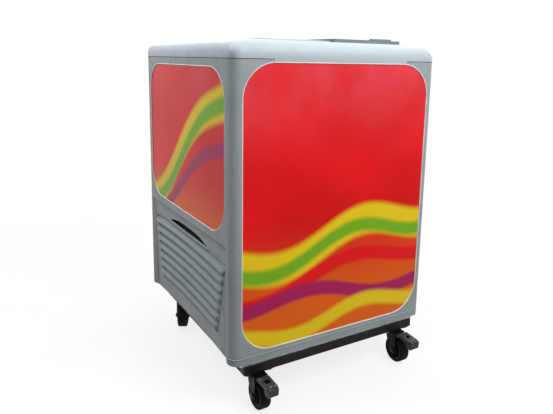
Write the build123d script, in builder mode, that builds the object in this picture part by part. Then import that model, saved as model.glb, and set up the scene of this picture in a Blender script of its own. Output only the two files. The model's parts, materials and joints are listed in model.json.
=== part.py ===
from build123d import *
import math
import os

# Ice cream chest freezer on a castered trolley, in millimetres.
# The origin is on the floor at the centre of the footprint, +Z is up and the front faces -Y.

# Cabinet: overall sizes
WIDTH = 665.0
DEPTH = 680.0
BODY_HEIGHT = 800.0
CORNER_RADIUS = 26.0
SKIN = 3.0
JOINT_GAP = 0.3
WELD_GAP = 0.05
TUBE_SIDES = 8
HEX_SIDES = 6

# Top frame: crown, lowered apron and the steps that carry the lids
CROWN_RISE = 48.0
CROWN_UPRIGHT = 20.0
CROWN_INSET = 35.0
APRON_DROP = 7.0
APRON_HALF = 215.5
APRON_SLANT = 4.0
THROAT_WALL = 3.0
WELL_WIDTH = 455.0
CROWN_BAND = 44.0
UPPER_TRACK = 17.0
TRACK_RIB = 2.0
LOWER_TRACK = 21.0
UPPER_TRACK_DROP = 5.0
LOWER_TRACK_DROP = 8.0
RIB_DROP = 2.5
THROAT_WIDTH = 424.0
THROAT_RADIUS = 12.0
TOP_CAVITY = 29.0
TOP_CAVITY_INSET = 6.0

# Trolley frame and base pan
FRAME_LENGTH = 592.0
FRAME_DEPTH = 616.0
ANGLE_LEG = 25.0
ANGLE_WALL = 3.0
PAD_LENGTH = 100.0
PAD_DEPTH = 76.0
PAD_WALL = 4.0
CROSS_BAR = 40.0
CROSS_BAR_WALL = 5.0
CROSS_BAR_SPACING = 240.0
PAN_DROP = 8.0
PAN_WALL = 2.0
PAN_UPSTAND = 22.0
PAN_BOLT_SPACING = 480.0
PAN_CORNER = 4.0

# Casters, measured from the swivel axis; the wheel trails towards -Y
CASTER_HEIGHT = 106.0
CASTER_INSET_X = 48.0
CASTER_INSET_Y = 36.0
WHEEL_RADIUS = 40.0
WHEEL_WIDTH = 32.0
RIM_RADIUS = 30.0
TRAIL = 33.0
PLATE_LENGTH = 92.0
PLATE_WIDTH = 67.0
PLATE_WALL = 3.0
BOLT_SPACING_X = 70.0
BOLT_SPACING_Y = 46.0
RACE_RADIUS = 28.0
RACE_HEIGHT = 5.6
KING_PIN_RADIUS = 6.0
RUNNING_FIT = 0.05
FORK_WALL = 3.0
FORK_CROWN_RADIUS = 26.0
FORK_NOSE = 8.0
LEG_CLEARANCE = 2.0
AXLE_RADIUS = 4.0
EYE_RADIUS = 12.0
BOLT_HEAD_RADIUS = 7.0
BOLT_HEAD = 5.0

# Toe brake: a lever on a cross pin in the fork, with a shoe over the tyre and a foot pad
PEDAL_TIP = 113.0
BRAKE_PIVOT_Y = -15.0
BRAKE_PIVOT_Z = 87.0
BRAKE_PIN_RADIUS = 2.5
BRAKE_TRAVEL = 7.0
LEVER_WIDTH = 34.0
LEVER_WALL = 2.5
LEVER_WINDOW = 16.0
LEVER_WINDOW_Y = -75.0
LEVER_RAMP = 11.0
LEVER_RISE = 3.0
LEVER_DROOP = 3.0
LEVER_CROWN_GAP = 0.7
LEVER_NOSE_GAP = 1.5
LEVER_CHEEK = 9.0
FOOT_PAD_LENGTH = 29.0
FOOT_PAD_HEIGHT = 27.0
FOOT_PAD_WIDTH = 30.0
FOOT_PAD_LIP = 10.0

# Steel jacket, foam and tub
SIDE_CAVITY = 25.0
REAR_RECESS = 10.0
JACKET_WALL = 1.2
MACHINE_HEIGHT = 300.0
FOAM_FLOOR = 60.0
FRONT_WALL = 84.0
TUB_WIDTH = 465.0
TUB_RADIUS = 30.0
TUB_FLOOR_BEVEL = 12.0
LINER_WALL = 1.5
LINER_FLANGE = 18.0
COIL_TUBE_RADIUS = 4.0
COIL_TURNS = 3
COIL_PITCH = 110.0
COIL_FOOT = 60.0
AIR_MARGIN = 62.0
AIR_BOTTOM = 26.0
AIR_HEIGHT = 258.0

# Drain
DRAIN_X = 130.0
DRAIN_Y = 60.0
DRAIN_RADIUS = 9.0
DRAIN_WALL = 1.5
DRAIN_SPOUT = 14.0

# Printed panels and their frames
FRONT_BORDER = 28.0
PLINTH_HEIGHT = 29.0
FRONT_PANEL_RADIUS = 92.0
PANEL_SHEET = 1.0
PANEL_GAP = 0.4
POST_WRAP = 34.0
REAR_POST_WIDTH = 40.0
SIDE_WALL = 4.5
SIDE_POCKET = 2.2
SIDE_PANEL_MARGIN = 9.0
SIDE_PANEL_FOOT = 27.0
SIDE_PANEL_TOP = 21.0
SIDE_PANEL_RADIUS = 90.0
BEAD_RADIUS = 1.5
BEAD_HEIGHT = 18.0

# Louvred grille under the fold of the side frame
GRILLE_HEIGHT = 316.0
GRILLE_SETBACK = 8.0
GRILLE_ARCH = 12.0
SLOT_COUNT = 8
SLOT_PITCH = 29.0
SLOT_HEIGHT = 10.0
SLOT_SAG = 9.0
TOP_SLOT_HEIGHT = 266.0
TOP_SLOT_MARGIN = 24.6
BOTTOM_SLOT_MARGIN = 72.6
SLAT_BULGE = 3.0
SLAT_EDGE = 2.6
SLAT_SHOULDER = 2.0
FINGER_LENGTH = 300.0
FINGER_HEIGHT = 290.0
FINGER_SAG = 4.0
FINGER_OPENING = 12.0
LIP_HEIGHT = 3.0

# Lids
LID_WIDTH = 231.0
LID_END_GAP = 2.0
LID_SIDE_GAP = 0.6
GLIDE_GAP = 0.3
LID_BORDER = 16.0
LID_RAIL = 24.0
LOWER_LID_TOP = 4.0
LOWER_LID_WALL = 5.5
LID_CROSSING_GAP = 0.6
UPPER_LID_WALL = 4.9
GLASS_WALL = 4.0
GLASS_LAP = 7.0
GLASS_FLOOR = 0.7
RUNNER_WIDTH = 12.0
PULL_LENGTH = 70.0
PULL_WIDTH = 12.0
PULL_DEPTH = 2.5
PULL_FROM_EDGE = 9.0
GRIP_LENGTH = 76.0
GRIP_WIDTH = 17.0
GRIP_HEIGHT = 4.5
GRIP_FROM_END = 28.0
GRIP_CORNER = 4.0
GRIP_TAPER = 20.0

# Hanging basket of welded rod, on the ledges beside the throat
BASKET_DEPTH = 230.0
BASKET_HEIGHT = 215.0
ROD_RADIUS = 2.5
BASKET_SIDE_GAP = 6.0
BASKET_END_GAP = 6.0
BASKET_COLUMNS = 9
BASKET_ROWS = 5
BASKET_HOOKS = 6

# Machine compartment
COMPRESSOR_X = 120.0
COMPRESSOR_FROM_REAR = 130.0
COMPRESSOR_RADIUS = 75.0
COMPRESSOR_HEIGHT = 165.0
STUB_HEIGHT = 80.0
STUB_LENGTH = 12.0
FOOT_PLATE = 3.0
FOOT_PLATE_MARGIN = 15.0
FOOT_HEIGHT = 15.0
FOOT_SPACING_X = 170.0
FOOT_SPACING_Y = 100.0
CONDENSER_DEPTH = 300.0
CONDENSER_HEIGHT = 200.0
CONDENSER_WALL = 36.0
CONDENSER_FROM_JACKET = 14.0
CONDENSER_FROM_FRONT = 230.0
TUBE_OVERHANG = 8.0
CONDENSER_FINS = 9
FIN_WALL = 1.0
CONDENSER_TUBES = 3
TUBE_RADIUS = 4.0
SHROUD_WALL = 2.0
FAN_FROM_SHROUD = 12.0
MOTOR_FROM_FAN = 22.0
FAN_RADIUS = 82.0
FAN_TIP_GAP = 5.0
FAN_BLADES = 5
FAN_PITCH = 32.0
MOTOR_RADIUS = 28.0
MOTOR_LENGTH = 42.0
SHAFT_RADIUS = 3.0
PIPE_RADIUS = 3.0
DRIER_LENGTH = 94.0
DRIER_X = -60.0
DRIER_FROM_REAR = 60.0
DRIER_HEIGHT = 60.0
PIPE_BEND = 16.0
DISCHARGE_RUN = 60.0
LIQUID_RUN = 50.0
CAPILLARY_RUN = 26.0
CREST_RISE = 50.0

# Rear cover with the thermostat and the cord gland
COVER_WIDTH = 480.0
COVER_HEIGHT = 270.0
COVER_LAP = 14.0
COVER_FOOT = 18.0
COVER_WALL = 1.2
COVER_CORNER = 10.0
VENT_LENGTH = 70.0
VENT_HEIGHT = 6.0
VENT_GAP = 20.0
VENT_ROWS = 8
KNOB_X = 150.0
KNOB_RADIUS = 16.0
KNOB_DEPTH = 8.0
KNOB_FROM_TOP = 60.0
SPINDLE_LENGTH = 5.0
GLAND_X = -170.0
GLAND_BORE = 4.0
GLAND_FLANGE = 11.0
GLAND_BARREL = 8.0
GLAND_FLANGE_WALL = 5.0
GLAND_BARREL_LENGTH = 12.0
GLAND_HEIGHT = 50.0
SCREW_HEAD_RADIUS = 4.0
SCREW_HEAD = 2.2

# Levels
FRAME_TOP = CASTER_HEIGHT + ANGLE_LEG
SKIRT_Z = FRAME_TOP + PAN_DROP
JOINT_Z = SKIRT_Z + BODY_HEIGHT
CROWN_Z = JOINT_Z + CROWN_RISE
PARTITION_Z = SKIRT_Z + MACHINE_HEIGHT
TUB_FLOOR_Z = PARTITION_Z + FOAM_FLOOR
FOAM_TOP_Z = JOINT_Z - LINER_WALL
FOLD_Z = SKIRT_Z + GRILLE_HEIGHT
UPPER_TRACK_Z = CROWN_Z - UPPER_TRACK_DROP
LOWER_TRACK_Z = CROWN_Z - LOWER_TRACK_DROP
LOWER_LID_TOP_Z = CROWN_Z + LOWER_LID_TOP
LOWER_LID_Z = LOWER_LID_TOP_Z - LOWER_LID_WALL
UPPER_LID_Z = LOWER_LID_TOP_Z + LID_CROSSING_GAP
UPPER_LID_TOP_Z = UPPER_LID_Z + UPPER_LID_WALL
PAN_FLOOR_Z = FRAME_TOP + PAN_WALL

# Front, rear and middle of the cabinet: the toe brakes reach out in front of it
FRONT_Y = (PEDAL_TIP - CASTER_INSET_Y - DEPTH) / 2
REAR_Y = FRONT_Y + DEPTH
MID_Y = (FRONT_Y + REAR_Y) / 2
FRAME_MID_Y = FRONT_Y + FRAME_DEPTH / 2
JACKET_FRONT = FRONT_Y + SKIN
JACKET_REAR = REAR_Y - REAR_RECESS
JACKET_DEPTH = JACKET_REAR - JACKET_FRONT
JACKET_MID_Y = (JACKET_FRONT + JACKET_REAR) / 2
JACKET_HALF = WIDTH / 2 - SIDE_CAVITY
TUB_DEPTH = DEPTH - 2 * FRONT_WALL
SIDE_LENGTH = DEPTH - 2 * POST_WRAP - 2 * PANEL_GAP
CROWN_Y = DEPTH / 2 - CROWN_BAND
LOWER_WELL_Y = CROWN_Y - UPPER_TRACK - TRACK_RIB
THROAT_Y = LOWER_WELL_Y - LOWER_TRACK
LID_OFFSET = (WELL_WIDTH - LID_WIDTH) / 2 - LID_END_GAP
AIR_LENGTH = DEPTH - 2 * AIR_MARGIN

CASTER_X = FRAME_LENGTH / 2 - CASTER_INSET_X
CASTER_FRONT_Y = FRONT_Y + CASTER_INSET_Y
CASTER_REAR_Y = FRONT_Y + FRAME_DEPTH - CASTER_INSET_Y
REAR_TRAIL_TURN = -28.0
CASTER_PLACES = {
    "front_left": Location((-CASTER_X, CASTER_FRONT_Y, 0)),
    "front_right": Location((CASTER_X, CASTER_FRONT_Y, 0)),
    "rear_left": Location((-CASTER_X, CASTER_REAR_Y, 0), (0, 0, REAR_TRAIL_TURN)),
    "rear_right": Location((CASTER_X, CASTER_REAR_Y, 0), (0, 0, REAR_TRAIL_TURN)),
}
FORK_TOP = CASTER_HEIGHT - PLATE_WALL - RACE_HEIGHT - JOINT_GAP
FORK_HALF = WHEEL_WIDTH / 2 + LEG_CLEARANCE + FORK_WALL
FORK_FRONT = -TRAIL - FORK_NOSE
LEVER_UNDER_CROWN = FORK_TOP - FORK_WALL - LEVER_CROWN_GAP
LEVER_TOP = FORK_TOP + LEVER_RISE
LEVER_FRONT_TOP = LEVER_TOP - LEVER_DROOP
LEVER_BEND = FORK_FRONT - LEVER_NOSE_GAP
LEVER_FRONT = FOOT_PAD_LIP - PEDAL_TIP

os.makedirs("parts", exist_ok=True)


def write(builder, name):
    """Label a finished piece and write it as its own STEP file."""
    builder.part.label = name
    export_step(builder.part, f"parts/{name}.step")


def write_at(builder, name, place):
    """Write a copy of a piece that was modelled about its own axis, moved to its place."""
    with BuildPart() as placed:
        with Locations(place):
            add(builder.part)
    write(placed, name)


def write_mirrored(builder, name):
    """Write the right-hand twin of a left-hand piece."""
    with BuildPart() as twin:
        mirror(builder.part, about=Plane.YZ)
    write(twin, name)


def level(height):
    """Horizontal plane at a height, centred on the cabinet."""
    return Plane((0, MID_Y, height))


def side_view(x):
    """Upright plane seen along X: its x runs to the rear and its y upwards."""
    return Plane((x, 0, 0), x_dir=(0, 1, 0), z_dir=(1, 0, 0))


def rear_view(y):
    """Upright plane across the cabinet: its x is X, its y upwards and its normal points forwards."""
    return Plane((0, y, 0), x_dir=(1, 0, 0), z_dir=(0, -1, 0))


def swept_tube(points, bends, radius):
    """Eight-sided tube along straight runs joined by tangent bends."""
    with BuildPart() as tube:
        with BuildLine() as route:
            FilletPolyline(*points, radius=bends)
        with BuildSketch(Plane(route.line @ 0, z_dir=route.line % 0)):
            RegularPolygon(radius, TUBE_SIDES)
        sweep(path=route.line)
    return tube


def hex_bolt(grip):
    """Bolt head above the origin and its nut below the grip; the shank is hidden in the plates."""
    with BuildPart() as bolt:
        for plane, height in ((Plane.XY, BOLT_HEAD), (Plane.XY.offset(-grip), -BOLT_HEAD)):
            with BuildSketch(plane):
                RegularPolygon(BOLT_HEAD_RADIUS, HEX_SIDES)
            extrude(amount=height)
    return bolt


# Trolley frame: a ring of steel angle with corner pads and two cross bars
def make_trolley_frame():
    with BuildPart() as frame:
        with BuildSketch(Plane((0, FRAME_MID_Y, CASTER_HEIGHT))):
            Rectangle(FRAME_LENGTH, FRAME_DEPTH)
            Rectangle(FRAME_LENGTH - 2 * ANGLE_WALL, FRAME_DEPTH - 2 * ANGLE_WALL, mode=Mode.SUBTRACT)
        extrude(amount=ANGLE_LEG)
        with BuildSketch(Plane((0, FRAME_MID_Y, FRAME_TOP))):
            Rectangle(FRAME_LENGTH, FRAME_DEPTH)
            Rectangle(FRAME_LENGTH - 2 * ANGLE_LEG, FRAME_DEPTH - 2 * ANGLE_LEG, mode=Mode.SUBTRACT)
        extrude(amount=-ANGLE_WALL)
        with BuildSketch(Plane((0, FRAME_MID_Y, CASTER_HEIGHT))):
            with GridLocations(FRAME_LENGTH - PAD_LENGTH, FRAME_DEPTH - PAD_DEPTH, 2, 2):
                Rectangle(PAD_LENGTH, PAD_DEPTH)
        extrude(amount=PAD_WALL)
        with BuildSketch(Plane((0, FRAME_MID_Y, FRAME_TOP))):
            with GridLocations(0, CROSS_BAR_SPACING, 1, 2):
                Rectangle(FRAME_LENGTH - 2 * ANGLE_WALL, CROSS_BAR)
        extrude(amount=-CROSS_BAR_WALL)
    return frame


def make_trolley_bolts():
    """Caster bolts and pan bolts: the same hex bolts and nuts, in one group."""
    caster_bolt = hex_bolt(PAD_WALL + PLATE_WALL)
    pan_bolt = hex_bolt(PAN_WALL + ANGLE_WALL)
    with BuildPart() as bolts:
        with Locations(Location((0, FRAME_MID_Y, CASTER_HEIGHT + PAD_WALL))):
            with GridLocations(2 * CASTER_X, CASTER_REAR_Y - CASTER_FRONT_Y, 2, 2):
                with GridLocations(BOLT_SPACING_X, BOLT_SPACING_Y, 2, 2):
                    add(caster_bolt.part)
        with Locations(Location((0, FRAME_MID_Y, PAN_FLOOR_Z))):
            with GridLocations(FRAME_LENGTH - ANGLE_LEG - ANGLE_WALL, PAN_BOLT_SPACING, 2, 2):
                add(pan_bolt.part)
    return bolts


# Casters, modelled about the swivel axis with the floor at z = 0
def make_caster_plate():
    """Top plate with its ball race and a hole for the king pin."""
    seat = CASTER_HEIGHT - PLATE_WALL
    bore = KING_PIN_RADIUS + RUNNING_FIT
    corner = 6.0
    race_taper = 2.0
    race_wall = 7.0
    race_root = 0.5
    with BuildPart() as plate:
        with BuildSketch(Plane.XY.offset(seat)):
            plate_outline = Rectangle(PLATE_LENGTH, PLATE_WIDTH)
            chamfer(plate_outline.vertices(), corner)
            Circle(bore, mode=Mode.SUBTRACT)
        extrude(amount=PLATE_WALL)
        with BuildSketch(Plane.XZ):
            with BuildLine():
                Polyline(
                    (bore, seat),
                    (RACE_RADIUS, seat),
                    (RACE_RADIUS - race_taper, seat - RACE_HEIGHT),
                    (RACE_RADIUS - race_wall, seat - RACE_HEIGHT),
                    (bore, seat - race_root),
                    close=True,
                )
            make_face()
        revolve(axis=Axis.Z)
    return plate


def make_king_pin():
    """King pin, riveted through the top plate, with the head that carries the fork."""
    head_top = FORK_TOP - FORK_WALL - JOINT_GAP
    head_height = 4.0
    head_radius = 10.0
    with BuildPart() as pin:
        with BuildSketch(Plane.XY.offset(head_top)):
            Circle(head_radius)
        extrude(amount=-head_height)
        with BuildSketch(Plane.XY.offset(head_top)):
            Circle(KING_PIN_RADIUS)
        extrude(amount=CASTER_HEIGHT - head_top)
    return pin


def make_fork(braked):
    """Pressed fork: crown and two legs that taper to the axle eyes, with pin holes if it is braked."""
    leg_rear = 3.0
    leg_front = -FORK_FRONT
    bend = 3.0
    with BuildPart() as fork:
        with BuildSketch(Plane.XY.offset(FORK_TOP)):
            Circle(FORK_CROWN_RADIUS)
            with Locations((0, -leg_front / 2)):
                Rectangle(2 * FORK_HALF, leg_front)
        extrude(amount=-FORK_WALL)
        for side in (-1, 1):
            with BuildSketch(side_view(side * FORK_HALF)):
                with Locations((-TRAIL, WHEEL_RADIUS)):
                    Circle(EYE_RADIUS)
                with Locations((leg_rear - bend, FORK_TOP - bend), (bend - leg_front, FORK_TOP - bend)):
                    Circle(bend)
                make_hull()
            extrude(amount=-side * FORK_WALL)
        corners = fork.edges().filter_by(Axis.Y).group_by(Axis.Z)[-1]
        fillet([edge for edge in corners if abs(edge.center().X) > FORK_HALF - bend], bend)
        with Locations(Location((0, 0, FORK_TOP))):
            Hole(KING_PIN_RADIUS + RUNNING_FIT, depth=FORK_WALL)
        with BuildSketch(side_view(-FORK_HALF)):
            with Locations((-TRAIL, WHEEL_RADIUS)):
                Circle(AXLE_RADIUS)
            if braked:
                with Locations((BRAKE_PIVOT_Y, BRAKE_PIVOT_Z)):
                    Circle(BRAKE_PIN_RADIUS + RUNNING_FIT)
        extrude(amount=2 * FORK_HALF, mode=Mode.SUBTRACT)
    return fork


def wheel_outline(points):
    """Corners of a wheel part's section from (across, radius) pairs, mirrored across the wheel."""
    whole = points + [(-across, radius) for across, radius in reversed(points)]
    return [(across, radius - TRAIL) for across, radius in whole]


def make_wheel_hub():
    """Dished hub with its boss, web and rim."""
    boss_half = WHEEL_WIDTH / 2 + LEG_CLEARANCE - 2 * JOINT_GAP
    rim_inset = 2.0
    rim_half = WHEEL_WIDTH / 2 - rim_inset
    bore = AXLE_RADIUS + RUNNING_FIT
    boss = 9.0
    web_half = 3.0
    rim_wall = 4.0
    slope = 2.0
    with BuildPart() as hub:
        with BuildSketch(Plane.XY.offset(WHEEL_RADIUS)):
            with BuildLine():
                outline = wheel_outline([
                    (boss_half, bore),
                    (boss_half, boss),
                    (web_half, boss + slope),
                    (web_half, RIM_RADIUS - rim_wall - slope),
                    (rim_half, RIM_RADIUS - rim_wall),
                    (rim_half, RIM_RADIUS),
                ])
                Polyline(*outline, close=True)
            make_face()
        revolve(axis=Axis((0, -TRAIL, WHEEL_RADIUS), (1, 0, 0)))
    return hub


def make_tyre():
    """Solid rubber tyre with bevelled shoulders."""
    half = WHEEL_WIDTH / 2
    shoulder = 4.0
    with BuildPart() as tyre:
        with BuildSketch(Plane.XY.offset(WHEEL_RADIUS)) as section:
            with BuildLine():
                Polyline(*wheel_outline([(half, RIM_RADIUS), (half, WHEEL_RADIUS)]), close=True)
            make_face()
            chamfer(section.vertices().sort_by(Axis.Y)[-2:], shoulder)
        revolve(axis=Axis((0, -TRAIL, WHEEL_RADIUS), (1, 0, 0)))
    return tyre


def make_axle():
    """Axle bolt across the fork with its head and nut."""
    head_radius = 7.0
    head = 4.5
    with BuildPart() as axle:
        with BuildSketch(side_view(-FORK_HALF)):
            with Locations((-TRAIL, WHEEL_RADIUS)):
                Circle(AXLE_RADIUS)
        extrude(amount=2 * FORK_HALF)
        for side in (-1, 1):
            with BuildSketch(side_view(side * FORK_HALF)):
                with Locations((-TRAIL, WHEEL_RADIUS)):
                    RegularPolygon(head_radius, HEX_SIDES)
            extrude(amount=side * head)
    return axle


def shoe_centre():
    """Centre of the shoe's arc with the brake off: the wheel's centre, turned back by the travel."""
    turn = math.radians(BRAKE_TRAVEL)
    y = -TRAIL - BRAKE_PIVOT_Y
    z = WHEEL_RADIUS - BRAKE_PIVOT_Z
    return (
        BRAKE_PIVOT_Y + y * math.cos(turn) + z * math.sin(turn),
        BRAKE_PIVOT_Z - y * math.sin(turn) + z * math.cos(turn),
    )


def make_brake_lever():
    """Pressed lever: two cheeks on the cross pin, the windowed top plate and the brake shoe."""
    half = LEVER_WIDTH / 2
    heel_reach = 4.0
    heel = BRAKE_PIVOT_Y + heel_reach
    window_corner = 2.0
    shoe_half = 8.0
    centre_y, centre_z = shoe_centre()
    with BuildPart() as lever:
        with BuildSketch(side_view(-half)):
            with BuildLine():
                Polyline(
                    (heel, LEVER_UNDER_CROWN),
                    (LEVER_BEND, LEVER_UNDER_CROWN),
                    (LEVER_BEND - LEVER_RAMP, LEVER_TOP),
                    (LEVER_FRONT, LEVER_FRONT_TOP),
                    (LEVER_FRONT, LEVER_FRONT_TOP - LEVER_CHEEK),
                    (LEVER_BEND - LEVER_RAMP, LEVER_TOP - LEVER_CHEEK),
                    (LEVER_BEND, LEVER_UNDER_CROWN - LEVER_CHEEK),
                    (BRAKE_PIVOT_Y, BRAKE_PIVOT_Z - LEVER_CHEEK / 2),
                    (heel, BRAKE_PIVOT_Z - LEVER_CHEEK / 2),
                    close=True,
                )
            make_face()
        extrude(amount=LEVER_WIDTH)
        with BuildSketch(side_view(LEVER_WALL - half)):
            with BuildLine():
                Polyline(
                    (heel + LEVER_WALL, LEVER_UNDER_CROWN - LEVER_WALL),
                    (LEVER_BEND, LEVER_UNDER_CROWN - LEVER_WALL),
                    (LEVER_BEND - LEVER_RAMP, LEVER_TOP - LEVER_WALL),
                    (LEVER_FRONT + LEVER_WALL, LEVER_FRONT_TOP - LEVER_WALL),
                    (LEVER_FRONT + LEVER_WALL, LEVER_FRONT_TOP - 4 * LEVER_CHEEK),
                    (heel + LEVER_WALL, LEVER_FRONT_TOP - 4 * LEVER_CHEEK),
                    close=True,
                )
            make_face()
        extrude(amount=LEVER_WIDTH - 2 * LEVER_WALL, mode=Mode.SUBTRACT)
        with BuildSketch(Plane.XY.offset(LEVER_TOP)):
            with Locations((0, LEVER_WINDOW_Y)):
                RectangleRounded(LEVER_WINDOW, LEVER_WINDOW, window_corner)
        extrude(amount=-LEVER_CHEEK, mode=Mode.SUBTRACT)
        with BuildSketch(side_view(-half)):
            with Locations((centre_y + shoe_half / 2, (centre_z + WHEEL_RADIUS + LEVER_UNDER_CROWN) / 2)):
                Rectangle(2 * shoe_half, LEVER_UNDER_CROWN - WHEEL_RADIUS - centre_z)
            with Locations((centre_y, centre_z)):
                Circle(WHEEL_RADIUS + 2 * JOINT_GAP, mode=Mode.SUBTRACT)
        extrude(amount=LEVER_WIDTH)
        with BuildSketch(side_view(-FORK_HALF - LEVER_WALL)):
            with Locations((BRAKE_PIVOT_Y, BRAKE_PIVOT_Z)):
                Circle(BRAKE_PIN_RADIUS)
        extrude(amount=2 * FORK_HALF + 2 * LEVER_WALL)
    return lever


def make_foot_pad():
    """Moulded foot pad hooked on the lever's front lip."""
    lip_foot = LEVER_FRONT_TOP - LEVER_CHEEK
    foot = LEVER_FRONT_TOP - FOOT_PAD_HEIGHT
    tip = -PEDAL_TIP
    heel = FOOT_PAD_LENGTH - PEDAL_TIP
    brow = 2.0
    brow_drop = 4.0
    chin = 7.0
    chin_rise = 6.0
    heel_cut = 4.0
    with BuildPart() as pad:
        with BuildSketch(side_view(-FOOT_PAD_WIDTH / 2)):
            with BuildLine():
                Polyline(
                    (LEVER_FRONT, LEVER_FRONT_TOP),
                    (tip + brow, LEVER_FRONT_TOP - brow / 2),
                    (tip, LEVER_FRONT_TOP - brow_drop),
                    (tip + brow, foot + chin_rise),
                    (tip + chin, foot),
                    (heel - heel_cut, foot + brow),
                    (heel, lip_foot - heel_cut),
                    (LEVER_FRONT + LEVER_WALL, lip_foot),
                    (LEVER_FRONT, lip_foot),
                    close=True,
                )
            make_face()
        extrude(amount=FOOT_PAD_WIDTH)
    return pad


# Base pan: a pressed tray that stands on the trolley frame
def make_base_pan():
    with BuildPart() as pan:
        with BuildSketch(Plane((0, JACKET_MID_Y, FRAME_TOP))):
            Rectangle(2 * (JACKET_HALF - JACKET_WALL), JACKET_DEPTH - 2 * JACKET_WALL)
        extrude(amount=PAN_UPSTAND)
        chamfer(pan.edges().filter_by(Axis.Z), PAN_CORNER)
        offset(amount=-PAN_WALL, openings=pan.faces().sort_by(Axis.Z)[-1])
        with Locations(Location((DRAIN_X, DRAIN_Y, PAN_FLOOR_Z))):
            Hole(DRAIN_RADIUS + DRAIN_WALL + JOINT_GAP, depth=PAN_WALL)
    return pan


def make_cabinet_jacket():
    """Steel jacket of five sheets: front, rear with the service opening, two vented sides, partition."""
    mid_z = (SKIRT_Z + FOAM_TOP_Z) / 2
    height = FOAM_TOP_Z - SKIRT_Z
    seam_half = JACKET_HALF - JACKET_WALL
    inner_depth = JACKET_DEPTH - 2 * JACKET_WALL - 2 * WELD_GAP
    with BuildPart() as jacket:
        with BuildSketch(rear_view(JACKET_FRONT + JACKET_WALL)):
            with Locations((0, mid_z)):
                Rectangle(2 * seam_half, height)
        extrude(amount=JACKET_WALL)
        with BuildSketch(rear_view(JACKET_REAR)):
            with Locations((0, mid_z)):
                Rectangle(2 * seam_half, height)
            with Locations((0, SKIRT_Z + COVER_FOOT + COVER_HEIGHT / 2)):
                Rectangle(COVER_WIDTH - 2 * COVER_LAP, COVER_HEIGHT - 2 * COVER_LAP, mode=Mode.SUBTRACT)
        extrude(amount=JACKET_WALL)
        for side in (-1, 1):
            with BuildSketch(side_view(side * JACKET_HALF)):
                with Locations((JACKET_MID_Y, mid_z)):
                    Rectangle(inner_depth, height)
                with Locations((MID_Y, SKIRT_Z + AIR_BOTTOM + AIR_HEIGHT / 2)):
                    Rectangle(AIR_LENGTH, AIR_HEIGHT, mode=Mode.SUBTRACT)
            extrude(amount=-side * JACKET_WALL)
        with BuildSketch(Plane((0, JACKET_MID_Y, PARTITION_Z))):
            Rectangle(2 * (seam_half - WELD_GAP), inner_depth)
            with Locations((DRAIN_X, DRAIN_Y - JACKET_MID_Y)):
                Circle(DRAIN_RADIUS + DRAIN_WALL, mode=Mode.SUBTRACT)
            with Locations((0, suction_y() - JACKET_MID_Y)):
                Circle(COIL_TUBE_RADIUS, mode=Mode.SUBTRACT)
        extrude(amount=JACKET_WALL)
    return jacket


def cover_screw_places():
    """Screw centres along the top and bottom laps of the rear cover."""
    spread = COVER_WIDTH / 2 - COVER_LAP / 2
    low = SKIRT_Z + COVER_FOOT + COVER_LAP / 2
    high = SKIRT_Z + COVER_FOOT + COVER_HEIGHT - COVER_LAP / 2
    return [(x, z) for x in (-spread, 0, spread) for z in (low, high)]


def coil_span():
    """Width and depth of the evaporator's centre line, round the liner."""
    reach = 2 * (LINER_WALL + COIL_TUBE_RADIUS + JOINT_GAP)
    return TUB_WIDTH + reach, TUB_DEPTH + reach


def suction_y():
    """Where the evaporator's tail goes down, behind the tub."""
    return MID_Y + coil_span()[1] / 2


def make_evaporator_coil():
    """Tube wound round the liner from the top down, with its tail to the machine space."""
    width, depth = coil_span()
    x, y = width / 2, depth / 2
    foot = TUB_FLOOR_Z + COIL_FOOT
    bend = TUB_RADIUS + LINER_WALL + COIL_TUBE_RADIUS + JOINT_GAP
    corners = [(0, MID_Y + y, foot + (COIL_TURNS - 1) * COIL_PITCH)]
    for turn in reversed(range(COIL_TURNS)):
        z = foot + turn * COIL_PITCH
        corners += [(x, MID_Y + y, z), (x, MID_Y - y, z), (-x, MID_Y - y, z), (-x, MID_Y + y, z)]
    corners += [(0, MID_Y + y, foot), (0, MID_Y + y, PARTITION_Z)]
    return swept_tube(corners, bend, COIL_TUBE_RADIUS)


def make_foam_insulation():
    """Foam between the jacket and the liner, with a relief band for the evaporator."""
    tub_width = TUB_WIDTH + 2 * LINER_WALL
    tub_depth = TUB_DEPTH + 2 * LINER_WALL
    tub_radius = TUB_RADIUS + LINER_WALL
    relief = 2 * COIL_TUBE_RADIUS + 2 * JOINT_GAP
    relief_foot = TUB_FLOOR_Z
    relief_height = COIL_FOOT + (COIL_TURNS - 1) * COIL_PITCH + relief
    with BuildPart() as foam:
        with BuildSketch(Plane((0, JACKET_MID_Y, PARTITION_Z + JACKET_WALL))):
            Rectangle(2 * (JACKET_HALF - JACKET_WALL), JACKET_DEPTH - 2 * JACKET_WALL)
        extrude(amount=FOAM_TOP_Z - PARTITION_Z - JACKET_WALL)
        with BuildSketch(level(TUB_FLOOR_Z - LINER_WALL)):
            RectangleRounded(tub_width, tub_depth, tub_radius)
        extrude(amount=FOAM_TOP_Z - TUB_FLOOR_Z + LINER_WALL, mode=Mode.SUBTRACT)
        with BuildSketch(level(relief_foot)):
            RectangleRounded(tub_width + 2 * relief, tub_depth + 2 * relief, tub_radius + relief)
        extrude(amount=relief_height, mode=Mode.SUBTRACT)
        with Locations(Location((DRAIN_X, DRAIN_Y, TUB_FLOOR_Z))):
            Hole(DRAIN_RADIUS + DRAIN_WALL, depth=FOAM_FLOOR)
        with Locations(Location((0, suction_y(), relief_foot))):
            Hole(COIL_TUBE_RADIUS, depth=relief_foot - PARTITION_Z)
    return foam


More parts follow.
